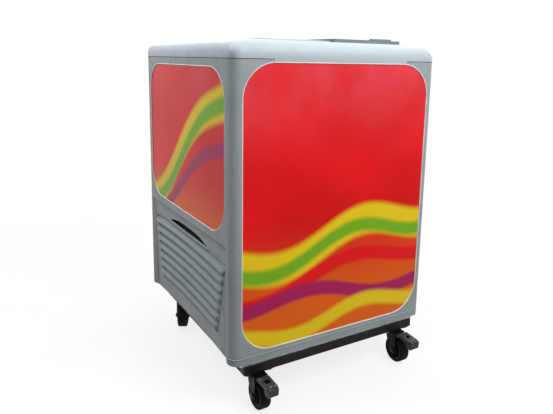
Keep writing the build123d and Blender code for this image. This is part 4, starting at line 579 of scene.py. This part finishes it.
def round_edges(piece, width):
    """Rounds the sharp edges of a piece and smooths the rest."""
    bm = bmesh.new()
    bm.from_mesh(piece.data)
    bmesh.ops.remove_doubles(bm, verts=bm.verts, dist=JOIN_DISTANCE)
    bmesh.ops.dissolve_limit(bm, angle_limit=FLAT_ANGLE, verts=bm.verts, edges=bm.edges)
    least = math.radians(40)
    sharp = [edge for edge in bm.edges if edge.is_manifold and edge.calc_face_angle() > least]
    bmesh.ops.bevel(
        bm,
        geom=sharp,
        offset=width,
        segments=EDGE_STEPS,
        profile=0.5,
        affect="EDGES",
        clamp_overlap=True,
    )
    bm.to_mesh(piece.data)
    bm.free()
    shade_by_angle(piece, 30)


# Shapes: each is added to a mesh, or is a path for one
def skin(bm, rings):
    """Faces between each closed ring of vertices and the next."""
    for before, after in zip(rings, rings[1:]):
        for index in range(len(before)):
            other = (index + 1) % len(before)
            bm.faces.new((before[index], before[other], after[other], after[index]))


def add_prism(bm, outline, axis, low, high):
    """Closed prism of a flat outline, drawn along one axis between two levels."""
    ends = []
    for level in (low, high):
        places = [(*point[:axis], level, *point[axis:]) for point in outline]
        ends.append([bm.verts.new(place) for place in places])
    skin(bm, ends)
    bm.faces.new(reversed(ends[0]))
    bm.faces.new(ends[1])


def add_slab(bm, outline, sign, inner, outer):
    """Prism of a (y, z) outline between two distances from the middle, on one side."""
    add_prism(bm, outline, 0, *sorted((sign * inner, sign * outer)))


def add_block(bm, matrix):
    """A unit cube, brought to its size and place by matrix."""
    block = bmesh.ops.create_cube(bm, size=1)["verts"]
    bmesh.ops.transform(bm, matrix=matrix, verts=block)


def lathed(bm, outline, centre, axis, steps):
    """Turns a closed outline of (along, out) pairs round an axis through centre."""
    across = Vector((0, 0, 1)) if axis.z == 0 else Vector((1, 0, 0))
    rings = []
    for step in range(steps):
        turned = Matrix.Rotation(2 * math.pi * step / steps, 3, axis) @ across
        places = [centre + axis * along + turned * out for along, out in outline]
        rings.append([bm.verts.new(place) for place in places])
    skin(bm, [*rings, rings[0]])
    bmesh.ops.remove_doubles(bm, verts=bm.verts, dist=1e-7)


def mirrored(outline):
    """A wheel outline's half, completed across the middle of the wheel."""
    return outline + [(-along, out) for along, out in reversed(outline)]


def bulge(half, proud, steps):
    """Half an ellipse of (up, out) points, from its head to its foot."""
    turns = [math.pi * index / steps for index in range(steps + 1)]
    return [(half * math.cos(turn), proud * math.sin(turn)) for turn in turns]


def rounded_path(points, radius, steps=5, closed=False):
    """Corners of a path in space, each turned into short steps of an arc."""
    path = []
    count = len(points)
    for index, corner in enumerate(points):
        if not closed and index in (0, count - 1):
            path.append(Vector(corner))
            continue
        corner = Vector(corner)
        back = (Vector(points[index - 1]) - corner).normalized()
        ahead = (Vector(points[(index + 1) % count]) - corner).normalized()
        half = back.angle(ahead) / 2
        reach = radius / math.tan(half)
        centre = corner + (back + ahead).normalized() * (radius / math.sin(half))
        first = corner + back * reach - centre
        last = corner + ahead * reach - centre
        for step in range(steps + 1):
            turned = first.normalized().slerp(last.normalized(), step / steps)
            path.append(centre + turned * first.length)
    return path


def window_loop(low, high, radius, steps=14):
    """Closed loop of (u, v) pairs round a rectangle with round corners."""
    corners = [(low[0], low[1]), (high[0], low[1]), (high[0], high[1]), (low[0], high[1])]
    path = rounded_path([(*corner, 0) for corner in corners], radius, steps, closed=True)
    return [(point.x, point.y) for point in path]


def caster_matrix(corner):
    """Place and turn of the caster at that corner."""
    x = -CASTER_X if corner.endswith("left") else CASTER_X
    if corner in FRONT_CORNERS:
        return Matrix.Translation((x, CASTER_FRONT_Y, 0))
    turn = Matrix.Rotation(math.radians(REAR_TURN), 4, "Z")
    return Matrix.Translation((x, CASTER_REAR_Y, 0)) @ turn


# The pieces of the object
def crown_loop(bm, inset, height, radius):
    """One level of the crown: a rectangle with round corners, drawn in from the outside."""
    low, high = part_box("top_frame")
    near, far = (low.x + inset, low.y + inset), (high.x - inset, high.y - inset)
    return [bm.verts.new((x, y, height)) for x, y in window_loop(near, far, radius, 12)]


def make_top_shell():
    """Top frame with its crown rounded at the corners like a bar of soap."""
    low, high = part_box("top_frame")
    corner = 0.026
    below = 0.01
    shoulder = 0.952
    inset = 0.035
    levels = 12
    more_round = 0.9

    def build(bm):
        loops = [crown_loop(bm, 0, height, corner) for height in (low.z - below, shoulder)]
        for index in range(1, levels + 1):
            turn = math.pi / 2 * index / levels
            draw = inset * (1 - math.cos(turn))
            rise = shoulder + (high.z - shoulder) * math.sin(turn)
            loops.append(crown_loop(bm, draw, rise, corner + more_round * draw**2 / inset))
        skin(bm, loops)
        bm.faces.new(loops[-1])
        bm.faces.new(reversed(loops[0]))

    block = mesh_piece("soft_block", build)
    shell = copied_node("top_shell", "top_frame")
    cut_by(shell, block, "INTERSECT")
    round_edges(shell, 0.0012)
    finish_piece(shell, "cabinet", "top_plastic")
    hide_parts("top_frame")


def make_tyres():
    """Tyres with round shoulders, side rings and the mould's parting line."""
    wall = WHEEL_HALF
    outline = mirrored([
        (wall - 0.0004, RIM_RADIUS),
        (wall, RIM_RADIUS + 0.0008),
        (wall, RIM_RADIUS + 0.0022),
        (wall - 0.0005, RIM_RADIUS + 0.0028),
        (wall - 0.0001, RIM_RADIUS + 0.0034),
        (wall - 0.0002, WHEEL_RADIUS - 0.0046),
        (wall - 0.0012, WHEEL_RADIUS - 0.0022),
        (wall - 0.0030, WHEEL_RADIUS - 0.0006),
        (wall - 0.0052, WHEEL_RADIUS),
        (0.0009, WHEEL_RADIUS),
        (0.0004, WHEEL_RADIUS - 0.0005),
    ])

    def build(bm):
        lathed(bm, outline, WHEEL_CENTRE, WHEEL_AXIS, 96)

    for corner in CORNERS:
        tyre = mesh_piece(f"tyre_ring_{corner}", build, caster_matrix(corner))
        shade_by_angle(tyre)
        finish_piece(tyre, f"wheel_{corner}", "tyre_rubber")
        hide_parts(f"tyre_{corner}")


def add_wheel_ribs(bm):
    """Radial ribs between the boss and the rim of a hub, on both of its faces."""
    count = 8
    inner, outer = 0.0092, 0.0255
    low, high = 0.0028, 0.0105
    wall = 0.0020
    narrowing = 0.55
    size = Matrix.Diagonal((high - low, wall, outer - inner, 1))
    for index in range(count):
        turn = Matrix.Rotation(2 * math.pi * (index + 0.5) / count, 4, "X")
        for side in (-1, 1):
            block = bmesh.ops.create_cube(bm, size=1)["verts"]
            for vertex in block:
                vertex.co.y *= 1.0 if vertex.co.x * side < 0 else narrowing
            middle = Matrix.Translation((side * (low + high) / 2, 0, (inner + outer) / 2))
            place = Matrix.Translation(WHEEL_CENTRE) @ turn @ middle @ size
            bmesh.ops.transform(bm, matrix=place, verts=block)


def make_hubs():
    """Dished hubs with a stepped boss, radial ribs and a rolled rim."""
    boss_half = 0.0172
    outline = mirrored([
        (boss_half, 0.0041),
        (boss_half, 0.0078),
        (boss_half - 0.0010, 0.0088),
        (0.0040, 0.0100),
        (0.0030, 0.0112),
        (0.0030, 0.0226),
        (0.0040, 0.0240),
        (0.0128, 0.0262),
        (0.0140, 0.0268),
        (0.0140, 0.0292),
        (0.0132, 0.0299),
    ])

    def build(bm):
        lathed(bm, outline, WHEEL_CENTRE, WHEEL_AXIS, 72)
        add_wheel_ribs(bm)

    for corner in CORNERS:
        hub = mesh_piece(f"hub_dish_{corner}", build, caster_matrix(corner))
        shade_by_angle(hub)
        finish_piece(hub, f"wheel_{corner}", "hub_plastic")
        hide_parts(f"wheel_hub_{corner}")


def make_race_rings():
    """Pressed cup of each swivel's ball race, under the top plate."""
    outline = [
        (0.0980, 0.0272),
        (0.0976, 0.0280),
        (0.0982, 0.0290),
        (0.1018, 0.0296),
        (0.1030, 0.0310),
        (0.1030, 0.0284),
    ]

    def build(bm):
        lathed(bm, outline, Vector((0, 0, 0)), Vector((0, 0, 1)), 48)

    for corner in CORNERS:
        ring = mesh_piece(f"race_ring_{corner}", build, caster_matrix(corner))
        shade_by_angle(ring)
        finish_piece(ring, "cabinet", "caster_steel")


def make_pin_heads():
    """Riveted heads on the ends of each brake pin."""
    reach, sunk = 0.0235, 0.0006
    pin_y, pin_z = -0.015, 0.087
    outline = [(0.0, 0.0), (0.0, 0.0040), (0.0006, 0.0040), (0.0013, 0.0030), (0.0016, 0.0)]

    def build(bm):
        for side in (-1, 1):
            pin = Vector((side * (reach - sunk), pin_y, pin_z))
            lathed(bm, outline, pin, Vector((side, 0, 0)), 24)

    for corner in FRONT_CORNERS:
        heads = mesh_piece(f"pin_heads_{corner}", build, caster_matrix(corner))
        shade_by_angle(heads, 50)
        finish_piece(heads, f"brake_{corner}", "lever_steel")


def make_lever_webs():
    """Web that closes each brake lever's channel under its window."""
    half = 0.0142
    foot, head = 0.0902, 0.0914
    front, rear = -0.090, -0.060
    outline = [(-half, foot), (half, foot), (half, head), (-half, head)]

    def build(bm):
        add_prism(bm, outline, 1, front, rear)

    for corner in FRONT_CORNERS:
        web = mesh_piece(f"lever_web_{corner}", build, caster_matrix(corner))
        finish_piece(web, f"brake_{corner}", "lever_steel", "caster_steel")


def make_window_lips():
    """Bright lips round the panel windows, pale as a painted highlight for the light caught along
    their edges.
    """
    lip = 0.0018
    front_radius, side_radius = 0.092, 0.090
    front_gap, side_gap = 0.0006, 0.0004
    low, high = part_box("front_panel")
    loop = window_loop((low.x, low.z), (high.x, high.z), front_radius)
    path = [(x, low.y - front_gap, z) for x, z in loop]
    piece = wire_piece("front_window_lip", [path], lip, closed=True)
    finish_piece(piece, "cabinet", "shell_plastic", "lip_highlight_plastic")
    for side in SIDE_SIGNS:
        low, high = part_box(f"side_panel_{side}")
        face = low.x - side_gap if side == "left" else high.x + side_gap
        loop = window_loop((low.y, low.z), (high.y, high.z), side_radius)
        path = [(face, y, z) for y, z in loop]
        piece = wire_piece(f"side_window_lip_{side}", [path], lip, closed=True)
        finish_piece(piece, "cabinet", "shell_plastic", "lip_highlight_plastic")


def make_painted_shadow_seam():
    """Dark rubber strip under the top frame, from one end of the apron round to the other: a
    painted shadow that stands in for the shade in the seam.
    """
    half_x, front_y, rear_y = 0.3321, -0.3011, 0.3775
    apron = 0.2168
    height = 0.9392
    radius = 0.0009
    bend = 0.0256
    corners = [(-apron, front_y), (-half_x, front_y), (-half_x, rear_y)]
    corners += [(half_x, rear_y), (half_x, front_y), (apron, front_y)]
    path = rounded_path([(x, y, height) for x, y in corners], bend, steps=10)
    gasket = wire_piece("painted_shadow_seam", [path], radius)
    # painted shadow: a dark strip where the seam between top frame and body only lies in shade
    finish_piece(gasket, "cabinet", "mount_rubber", "seal_rubber")


def add_blade(bm, sign, middle_y, half, z, sag, profile, taper):
    """One arched blade along a side, from a section of (up, out) points, closed at its ends."""
    steps = 64
    rings = []
    for step in range(steps + 1):
        along = -math.cos(math.pi * step / steps)
        room = min(1.0, half * (1 - abs(along)) / taper)
        dome = math.sqrt(1 - (1 - room) ** 2)
        y, level = middle_y + along * half, z - sag * along**2
        places = [(sign * (BLADE_ROOT + dome * out), y, level + dome * up) for up, out in profile]
        rings.append([bm.verts.new(place) for place in places])
    skin(bm, rings)


def finger_arc():
    """Crescent outline of the finger recess: its upper edge, from one end to the other."""
    steps = 24
    low_y, high_y = FINGER_MIDDLE - FINGER_HALF, FINGER_MIDDLE + FINGER_HALF
    arc = []
    for step in range(steps + 1):
        y = low_y + (high_y - low_y) * step / steps
        along = abs(y - FINGER_MIDDLE) / FINGER_HALF
        arc.append((y, FINGER_CHORD + FINGER_RISE * (1 - along**FINGER_BLUNTNESS)))
    return arc


def cut_slab(piece, outline, sign, inner, outer):
    """Takes a slab of a (y, z) outline out of a piece, on one side."""
    block = mesh_piece("cutter", lambda bm: add_slab(bm, outline, sign, inner, outer))
    cut_by(piece, block, "DIFFERENCE")


def make_grille_shell(side, sign):
    """Grille with its face shaved level over the slots and the finger recess cut through."""
    depth = 0.012
    front, rear = FINGER_MIDDLE - 0.17, FINGER_MIDDLE + 0.18
    foot, head = 0.4155, 0.4500
    band = [(front, foot), (rear, foot), (rear, head), (front, head)]
    grille = copied_node(f"grille_shell_{side}", f"grille_{side}")
    cut_slab(grille, band, sign, GRILLE_FACE, GRILLE_FACE + depth)
    cut_slab(grille, finger_arc(), sign, GRILLE_FACE - depth, GRILLE_FACE + depth)
    round_edges(grille, 0.0007)
    finish_piece(grille, "cabinet", "shell_plastic")
    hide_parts(f"grille_{side}")


def make_brow(side, sign):
    """Coved brow over the finger recess, with a cove down each end of the grille."""
    front, rear = -0.2664, 0.3434
    plate_head = 0.4372
    cove_foot = 0.4370
    side_foot = 0.1408
    end_coves = ((0.3437, 0.3262), (-0.2667, -0.2492))
    cove = [(BROW_EDGE, BROW_HEAD), (0.3311, 0.4526), (0.3263, 0.4400), (0.3257, 0.4384)]
    cove += [(BROW_FACE, cove_foot), (BROW_BACK, cove_foot), (BROW_BACK, BROW_HEAD)]
    plate = [(front, FINGER_CHORD), *finger_arc(), (rear, FINGER_CHORD)]
    plate += [(rear, plate_head), (front, plate_head)]

    def build(bm):
        add_prism(bm, [(sign * x, z) for x, z in cove], 1, front, rear)
        add_slab(bm, plate, sign, BROW_BACK, BROW_FACE)
        for far, near in end_coves:
            outline = [(BROW_EDGE, far), (BROW_FACE, near), (BROW_BACK, near), (BROW_BACK, far)]
            add_prism(bm, [(sign * x, y) for x, y in outline], 2, side_foot, BROW_HEAD)

    brow = mesh_piece(f"grille_brow_{side}", build)
    shade_by_angle(brow, 30)
    finish_piece(brow, "cabinet", "shell_plastic")


def make_painted_shade_well(side, sign):
    """Dark trough behind the finger recess, a painted shade: dark plastic that stands in for the
    shadow inside the recess.
    """
    half = 0.170
    mouth, back, back_face = 0.3218, 0.3100, 0.3112
    foot, floor, ceiling, head = 0.4118, 0.4128, 0.4380, 0.4390
    trough = [(mouth, floor), (mouth, foot), (back, foot), (back, head)]
    trough += [(mouth, head), (mouth, ceiling), (back_face, ceiling), (back_face, floor)]
    outline = [(sign * x, z) for x, z in trough]

    def build(bm):
        add_prism(bm, outline, 1, FINGER_MIDDLE - half, FINGER_MIDDLE + half)

    well = mesh_piece(f"painted_shade_well_{side}", build)
    # painted shade: dark plastic instead of the shell's grey, so that the recess looks shaded
    finish_piece(well, "cabinet", "machine_plastic", "hub_plastic")


def make_finger_lip(side, sign):
    """Bright lip along the chord of the finger recess."""
    drop = 0.0016
    closing = 0.004
    section = bulge(0.0023, 0.0046, 8)

    def build(bm):
        level = FINGER_CHORD - drop
        add_blade(bm, sign, FINGER_MIDDLE, FINGER_HALF, level, 0, section, closing)

    lip = mesh_piece(f"finger_lip_{side}", build)
    shade_by_angle(lip, 60)
    finish_piece(lip, "cabinet", "shell_plastic")


def make_grilles():
    """Grilles of both sides, each with its crescent finger recess."""
    for side, sign in SIDE_SIGNS.items():
        make_grille_shell(side, sign)
        make_brow(side, sign)
        make_painted_shade_well(side, sign)
        make_finger_lip(side, sign)


def add_slats(bm, sign):
    """Louvre of one grille: slanting blades behind the slots and convex ones between them."""
    middle_y = 0.0385
    rows = 8
    first_half, last_half = 0.284, 0.228
    first_slot = 0.405
    pitch = 0.029
    sag = 0.009
    play = 0.002
    rounding = 0.009
    convex = bulge(0.0090, 0.0085, 10)
    slanting = [(-0.0052, -0.0012), (-0.0052, -0.0028), (0.0040, -0.0120), (0.0056, -0.0120)]
    for row in range(rows):
        half = first_half + (last_half - first_half) * row / (rows - 1)
        level = first_slot - pitch * row
        add_blade(bm, sign, middle_y, half - play, level, sag, slanting, play)
        if row < rows - 1:
            half += (last_half - first_half) / (rows - 1) / 2
            level = first_slot - pitch * (row + 0.5)
            add_blade(bm, sign, middle_y, half, level, sag, convex, rounding)
    bmesh.ops.remove_doubles(bm, verts=bm.verts, dist=0.000002)


def make_slats():
    """Louvres of both grilles."""
    for side, sign in SIDE_SIGNS.items():
        slats = mesh_piece(f"grille_slats_{side}", lambda bm: add_slats(bm, sign))
        shade_by_angle(slats, 50)
        finish_piece(slats, "cabinet", "shell_plastic")


def make_vent_hoods():
    """Pressed hood over each vent of the rear cover."""
    columns = (-0.045, 0.045)
    rows = 8
    pitch = 0.018
    middle_z = 0.292
    half = 0.034
    steps = 16
    least_swell = 0.05
    section = [(0.0036, -0.0002), (0.0033, 0.0016), (0.0020, 0.0031), (0.0002, 0.0038)]
    section += [(0.0000, 0.0030), (0.0015, 0.0023), (0.0025, 0.0010), (0.0027, -0.0002)]

    def add_hood(bm, column, z):
        rings = []
        for step in range(steps + 1):
            along = -math.cos(math.pi * step / steps)
            swell = max(least_swell, math.sqrt(1 - along**6))
            x = column + half * along
            places = [(x, REAR_FACE + out * swell, z + up) for up, out in section]
            rings.append([bm.verts.new(place) for place in places])
        skin(bm, rings)
        bm.faces.new(rings[0])
        bm.faces.new(rings[-1])

    def build(bm):
        for column in columns:
            for row in range(rows):
                add_hood(bm, column, middle_z + pitch * (row - (rows - 1) / 2))

    hoods = mesh_piece("vent_hoods", build)
    shade_by_angle(hoods, 40)
    finish_piece(hoods, "cabinet", "jacket_steel")


def make_dial():
    """Raised ticks round the thermostat knob, from its coldest to its warmest place."""
    knob_x, knob_z = 0.150, 0.367
    count, long_each = 11, 5
    first, sweep = -60, 300
    inner, outer, longer = 0.0195, 0.0235, 0.002
    width, rise = 0.0008, 0.0004
    knob = Matrix.Translation((knob_x, 0, knob_z))

    def build(bm):
        for index in range(count):
            turn = Matrix.Rotation(math.radians(first + sweep * index / (count - 1)), 4, "Y")
            reach = outer if index % long_each else outer + longer
            size = Matrix.Diagonal((reach - inner, rise, width, 1))
            slide = Matrix.Translation(((reach + inner) / 2, REAR_FACE + rise / 2, 0))
            add_block(bm, knob @ turn @ slide @ size)

    ticks = mesh_piece("dial_ticks", build)
    finish_piece(ticks, "cabinet", "machine_plastic")


def make_basket():
    """Basket of round welded wire with bent hooks and wrapped corners."""
    low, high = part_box("hanging_basket")
    wire = 0.0025
    thinner = wire * 0.8
    hook = 0.01875
    bend = 0.012
    hook_bend = bend * 0.7
    hoops = 10
    floor_wires = 9
    foot, head = low.z + wire, high.z - wire
    floor, top = foot + wire, head - 0.06
    half = high.x - wire - hook
    turn = half + hook
    front, back = low.y + wire, high.y - wire
    rails = []
    for index in range(3):
        height = foot + 2 * wire + index * (head - foot) / 3
        corners = [(-half, front), (half, front), (half, back), (-half, back)]
        rails.append(rounded_path([(x, y, height) for x, y in corners], bend, closed=True))
    uprights = []
    for index in range(hoops):
        y = front + 3 * wire + index * (back - front - 6 * wire) / (hoops - 1)
        profile = [(-turn, head), (-half, head), (-half, foot)]
        profile += [(half, foot), (half, head), (turn, head)]
        uprights.append(rounded_path([(x, y, z) for x, z in profile], hook_bend))
    for index in range(floor_wires):
        x = -half + (index + 1) * 2 * half / (floor_wires + 1)
        profile = [(front, top), (front, floor), (back, floor), (back, top)]
        uprights.append(rounded_path([(x, y, z) for y, z in profile], bend))
    for x in (-turn, turn):
        uprights.append([Vector((x, front, head)), Vector((x, back, head))])
    piece = wire_piece("basket_rails", rails, wire, closed=True)
    finish_piece(piece, "basket", "coated_wire")
    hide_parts("hanging_basket")
    piece = wire_piece("basket_wires", uprights, thinner)
    finish_piece(piece, "basket", "coated_wire")


def make_glass_seals():
    """Rubber beads that hold the panes in the lid frames."""
    bead = 0.0009
    corner = 0.004
    for lid in ("lower_lid", "upper_lid"):
        low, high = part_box(f"{lid}_glass")
        near, far = (low.x + bead, low.y + bead), (high.x - bead, high.y - bead)
        path = [(x, y, high.z) for x, y in window_loop(near, far, corner, 4)]
        piece = wire_piece(f"{lid}_seal", [path], bead, closed=True)
        finish_piece(piece, lid, "plug_rubber", "seal_rubber")


def make_condenser():
    """Condenser with close fins and tube bends at both ends."""
    low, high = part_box("condenser")
    fins = 76
    fin_wall = 0.0004
    tubes = 8
    tube = 0.004
    overhang = 0.008
    first, last = low.y + overhang, high.y - overhang
    pitch = (last - first) / (fins - 1)
    middle_x, middle_z = (low.x + high.x) / 2, (low.z + high.z) / 2
    spacing = (high.z - low.z) / tubes
    size = Matrix.Diagonal((high.x - low.x, fin_wall, high.z - low.z, 1))

    def build(bm):
        for index in range(fins):
            place = Matrix.Translation((middle_x, first + index * pitch, middle_z))
            add_block(bm, place @ size)

    plates = mesh_piece("condenser_fins", build)
    finish_piece(plates, "cabinet", "machine_black")
    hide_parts("condenser")
    ends = []
    turns = (low.y + tube, high.y - tube)
    for index in range(tubes):
        z = low.z + spacing * (index + 0.5)
        ends += [(turns[index % 2], z), (turns[1 - index % 2], z)]
    path = rounded_path([(middle_x, y, z) for y, z in ends], spacing * 0.45, 6)
    piece = wire_piece("condenser_tube", [path], tube)
    finish_piece(piece, "cabinet", "machine_black")


# The studio
def make_camera():
    """Camera at the photograph's place and angle."""
    yaw, pitch, roll = (math.radians(angle) for angle in (CAMERA_YAW, CAMERA_PITCH, CAMERA_ROLL))
    level = math.cos(pitch)
    ahead = Vector((math.sin(yaw) * level, math.cos(yaw) * level, -math.sin(pitch)))
    level_right = Vector((math.cos(yaw), -math.sin(yaw), 0))
    level_up = level_right.cross(ahead)
    right = level_right * math.cos(roll) + level_up * math.sin(roll)
    up = level_up * math.cos(roll) - level_right * math.sin(roll)
    data = bpy.data.cameras.new("camera")
    data.sensor_width = SENSOR
    data.lens = SENSOR * FOCAL_PIXELS / IMAGE_WIDTH
    data.shift_x = 0.5 - PRINCIPAL_X / IMAGE_WIDTH
    data.shift_y = (PRINCIPAL_Y - IMAGE_HEIGHT / 2) / IMAGE_WIDTH
    camera = placed("camera", data)
    turn = Matrix((right, up, -ahead)).transposed().to_4x4()
    camera.matrix_world = Matrix.Translation(CAMERA_PLACE) @ turn
    bpy.context.scene.camera = camera


def make_lamp(name, place, aim, size, power):
    """A square soft lamp at place that points at aim."""
    data = bpy.data.lights.new(name, "AREA")
    data.size = size
    data.energy = power
    lamp = placed(name, data)
    lamp.location = place
    lamp.rotation_euler = (Vector(aim) - Vector(place)).to_track_quat("-Z", "Y").to_euler()


def seen_directly(tree):
    """1 for what the camera, a gloss or a pane shows, 0 for the light on the object."""
    path = tree.nodes.new("ShaderNodeLightPath").outputs
    seen = calculated(tree, "MAXIMUM", path["Is Camera Ray"], path["Is Glossy Ray"])
    return calculated(tree, "MAXIMUM", seen, path["Is Transmission Ray"])


def make_world():
    """Even pale surroundings that show white behind the object."""
    light_on_object = 0.12
    world = bpy.data.worlds.new("studio")
    world.use_nodes = True
    tree = world.node_tree
    background = tree.nodes["Background"]
    background.inputs["Color"].default_value = WHITE
    strength = ranged(tree, seen_directly(tree), light_on_object, 1.0, 0.0, 1.0, soft=False)
    tree.links.new(strength, background.inputs["Strength"])
    bpy.context.scene.world = world


def make_floor():
    """Plain pale floor that keeps the object's shadow and fades into the white round it."""
    half = 9.0
    near_glow = 0.8
    fade_start, fade_end = 0.6, 2.4

    def build(bm):
        bmesh.ops.create_grid(bm, x_segments=1, y_segments=1, size=half)

    floor = mesh_piece("floor", build)
    material, tree, shader = start_material("floor", 0.9)
    shader.inputs["Specular IOR Level"].default_value = 0.0
    away = tree.nodes.new("ShaderNodeVectorMath")
    away.operation = "LENGTH"
    tree.links.new(place_on(tree), away.inputs[0])
    far = ranged(tree, away.outputs["Value"], 0.0, 1.0, fade_start, fade_end)
    seen = seen_directly(tree)
    fade = calculated(tree, "MULTIPLY", far, seen)
    mottle = ranged(tree, noise(tree, 0.4, 4), 0.0, 1.0)
    pale = mixed(tree, mottle, FLOOR_PALE, FLOOR_MOTTLE)
    tree.links.new(mixed(tree, fade, pale, BLACK), shader.inputs["Base Color"])
    shader.inputs["Emission Color"].default_value = WHITE
    glow = ranged(tree, far, near_glow, 1.0, 0.0, 1.0, soft=False)
    tree.links.new(calculated(tree, "MULTIPLY", glow, seen), shader.inputs["Emission Strength"])
    floor.data.materials.append(material)


make_camera()
dress_nodes()
soften_nodes()
make_top_shell()
make_tyres()
make_hubs()
make_race_rings()
make_pin_heads()
make_lever_webs()
make_window_lips()
make_painted_shadow_seam()
make_grilles()
make_slats()
make_vent_hoods()
make_dial()
make_basket()
make_glass_seals()
make_condenser()
make_world()
make_floor()
for lamp_row in LAMPS:
    make_lamp(*lamp_row)
bpy.context.scene.view_settings.view_transform = "Standard"
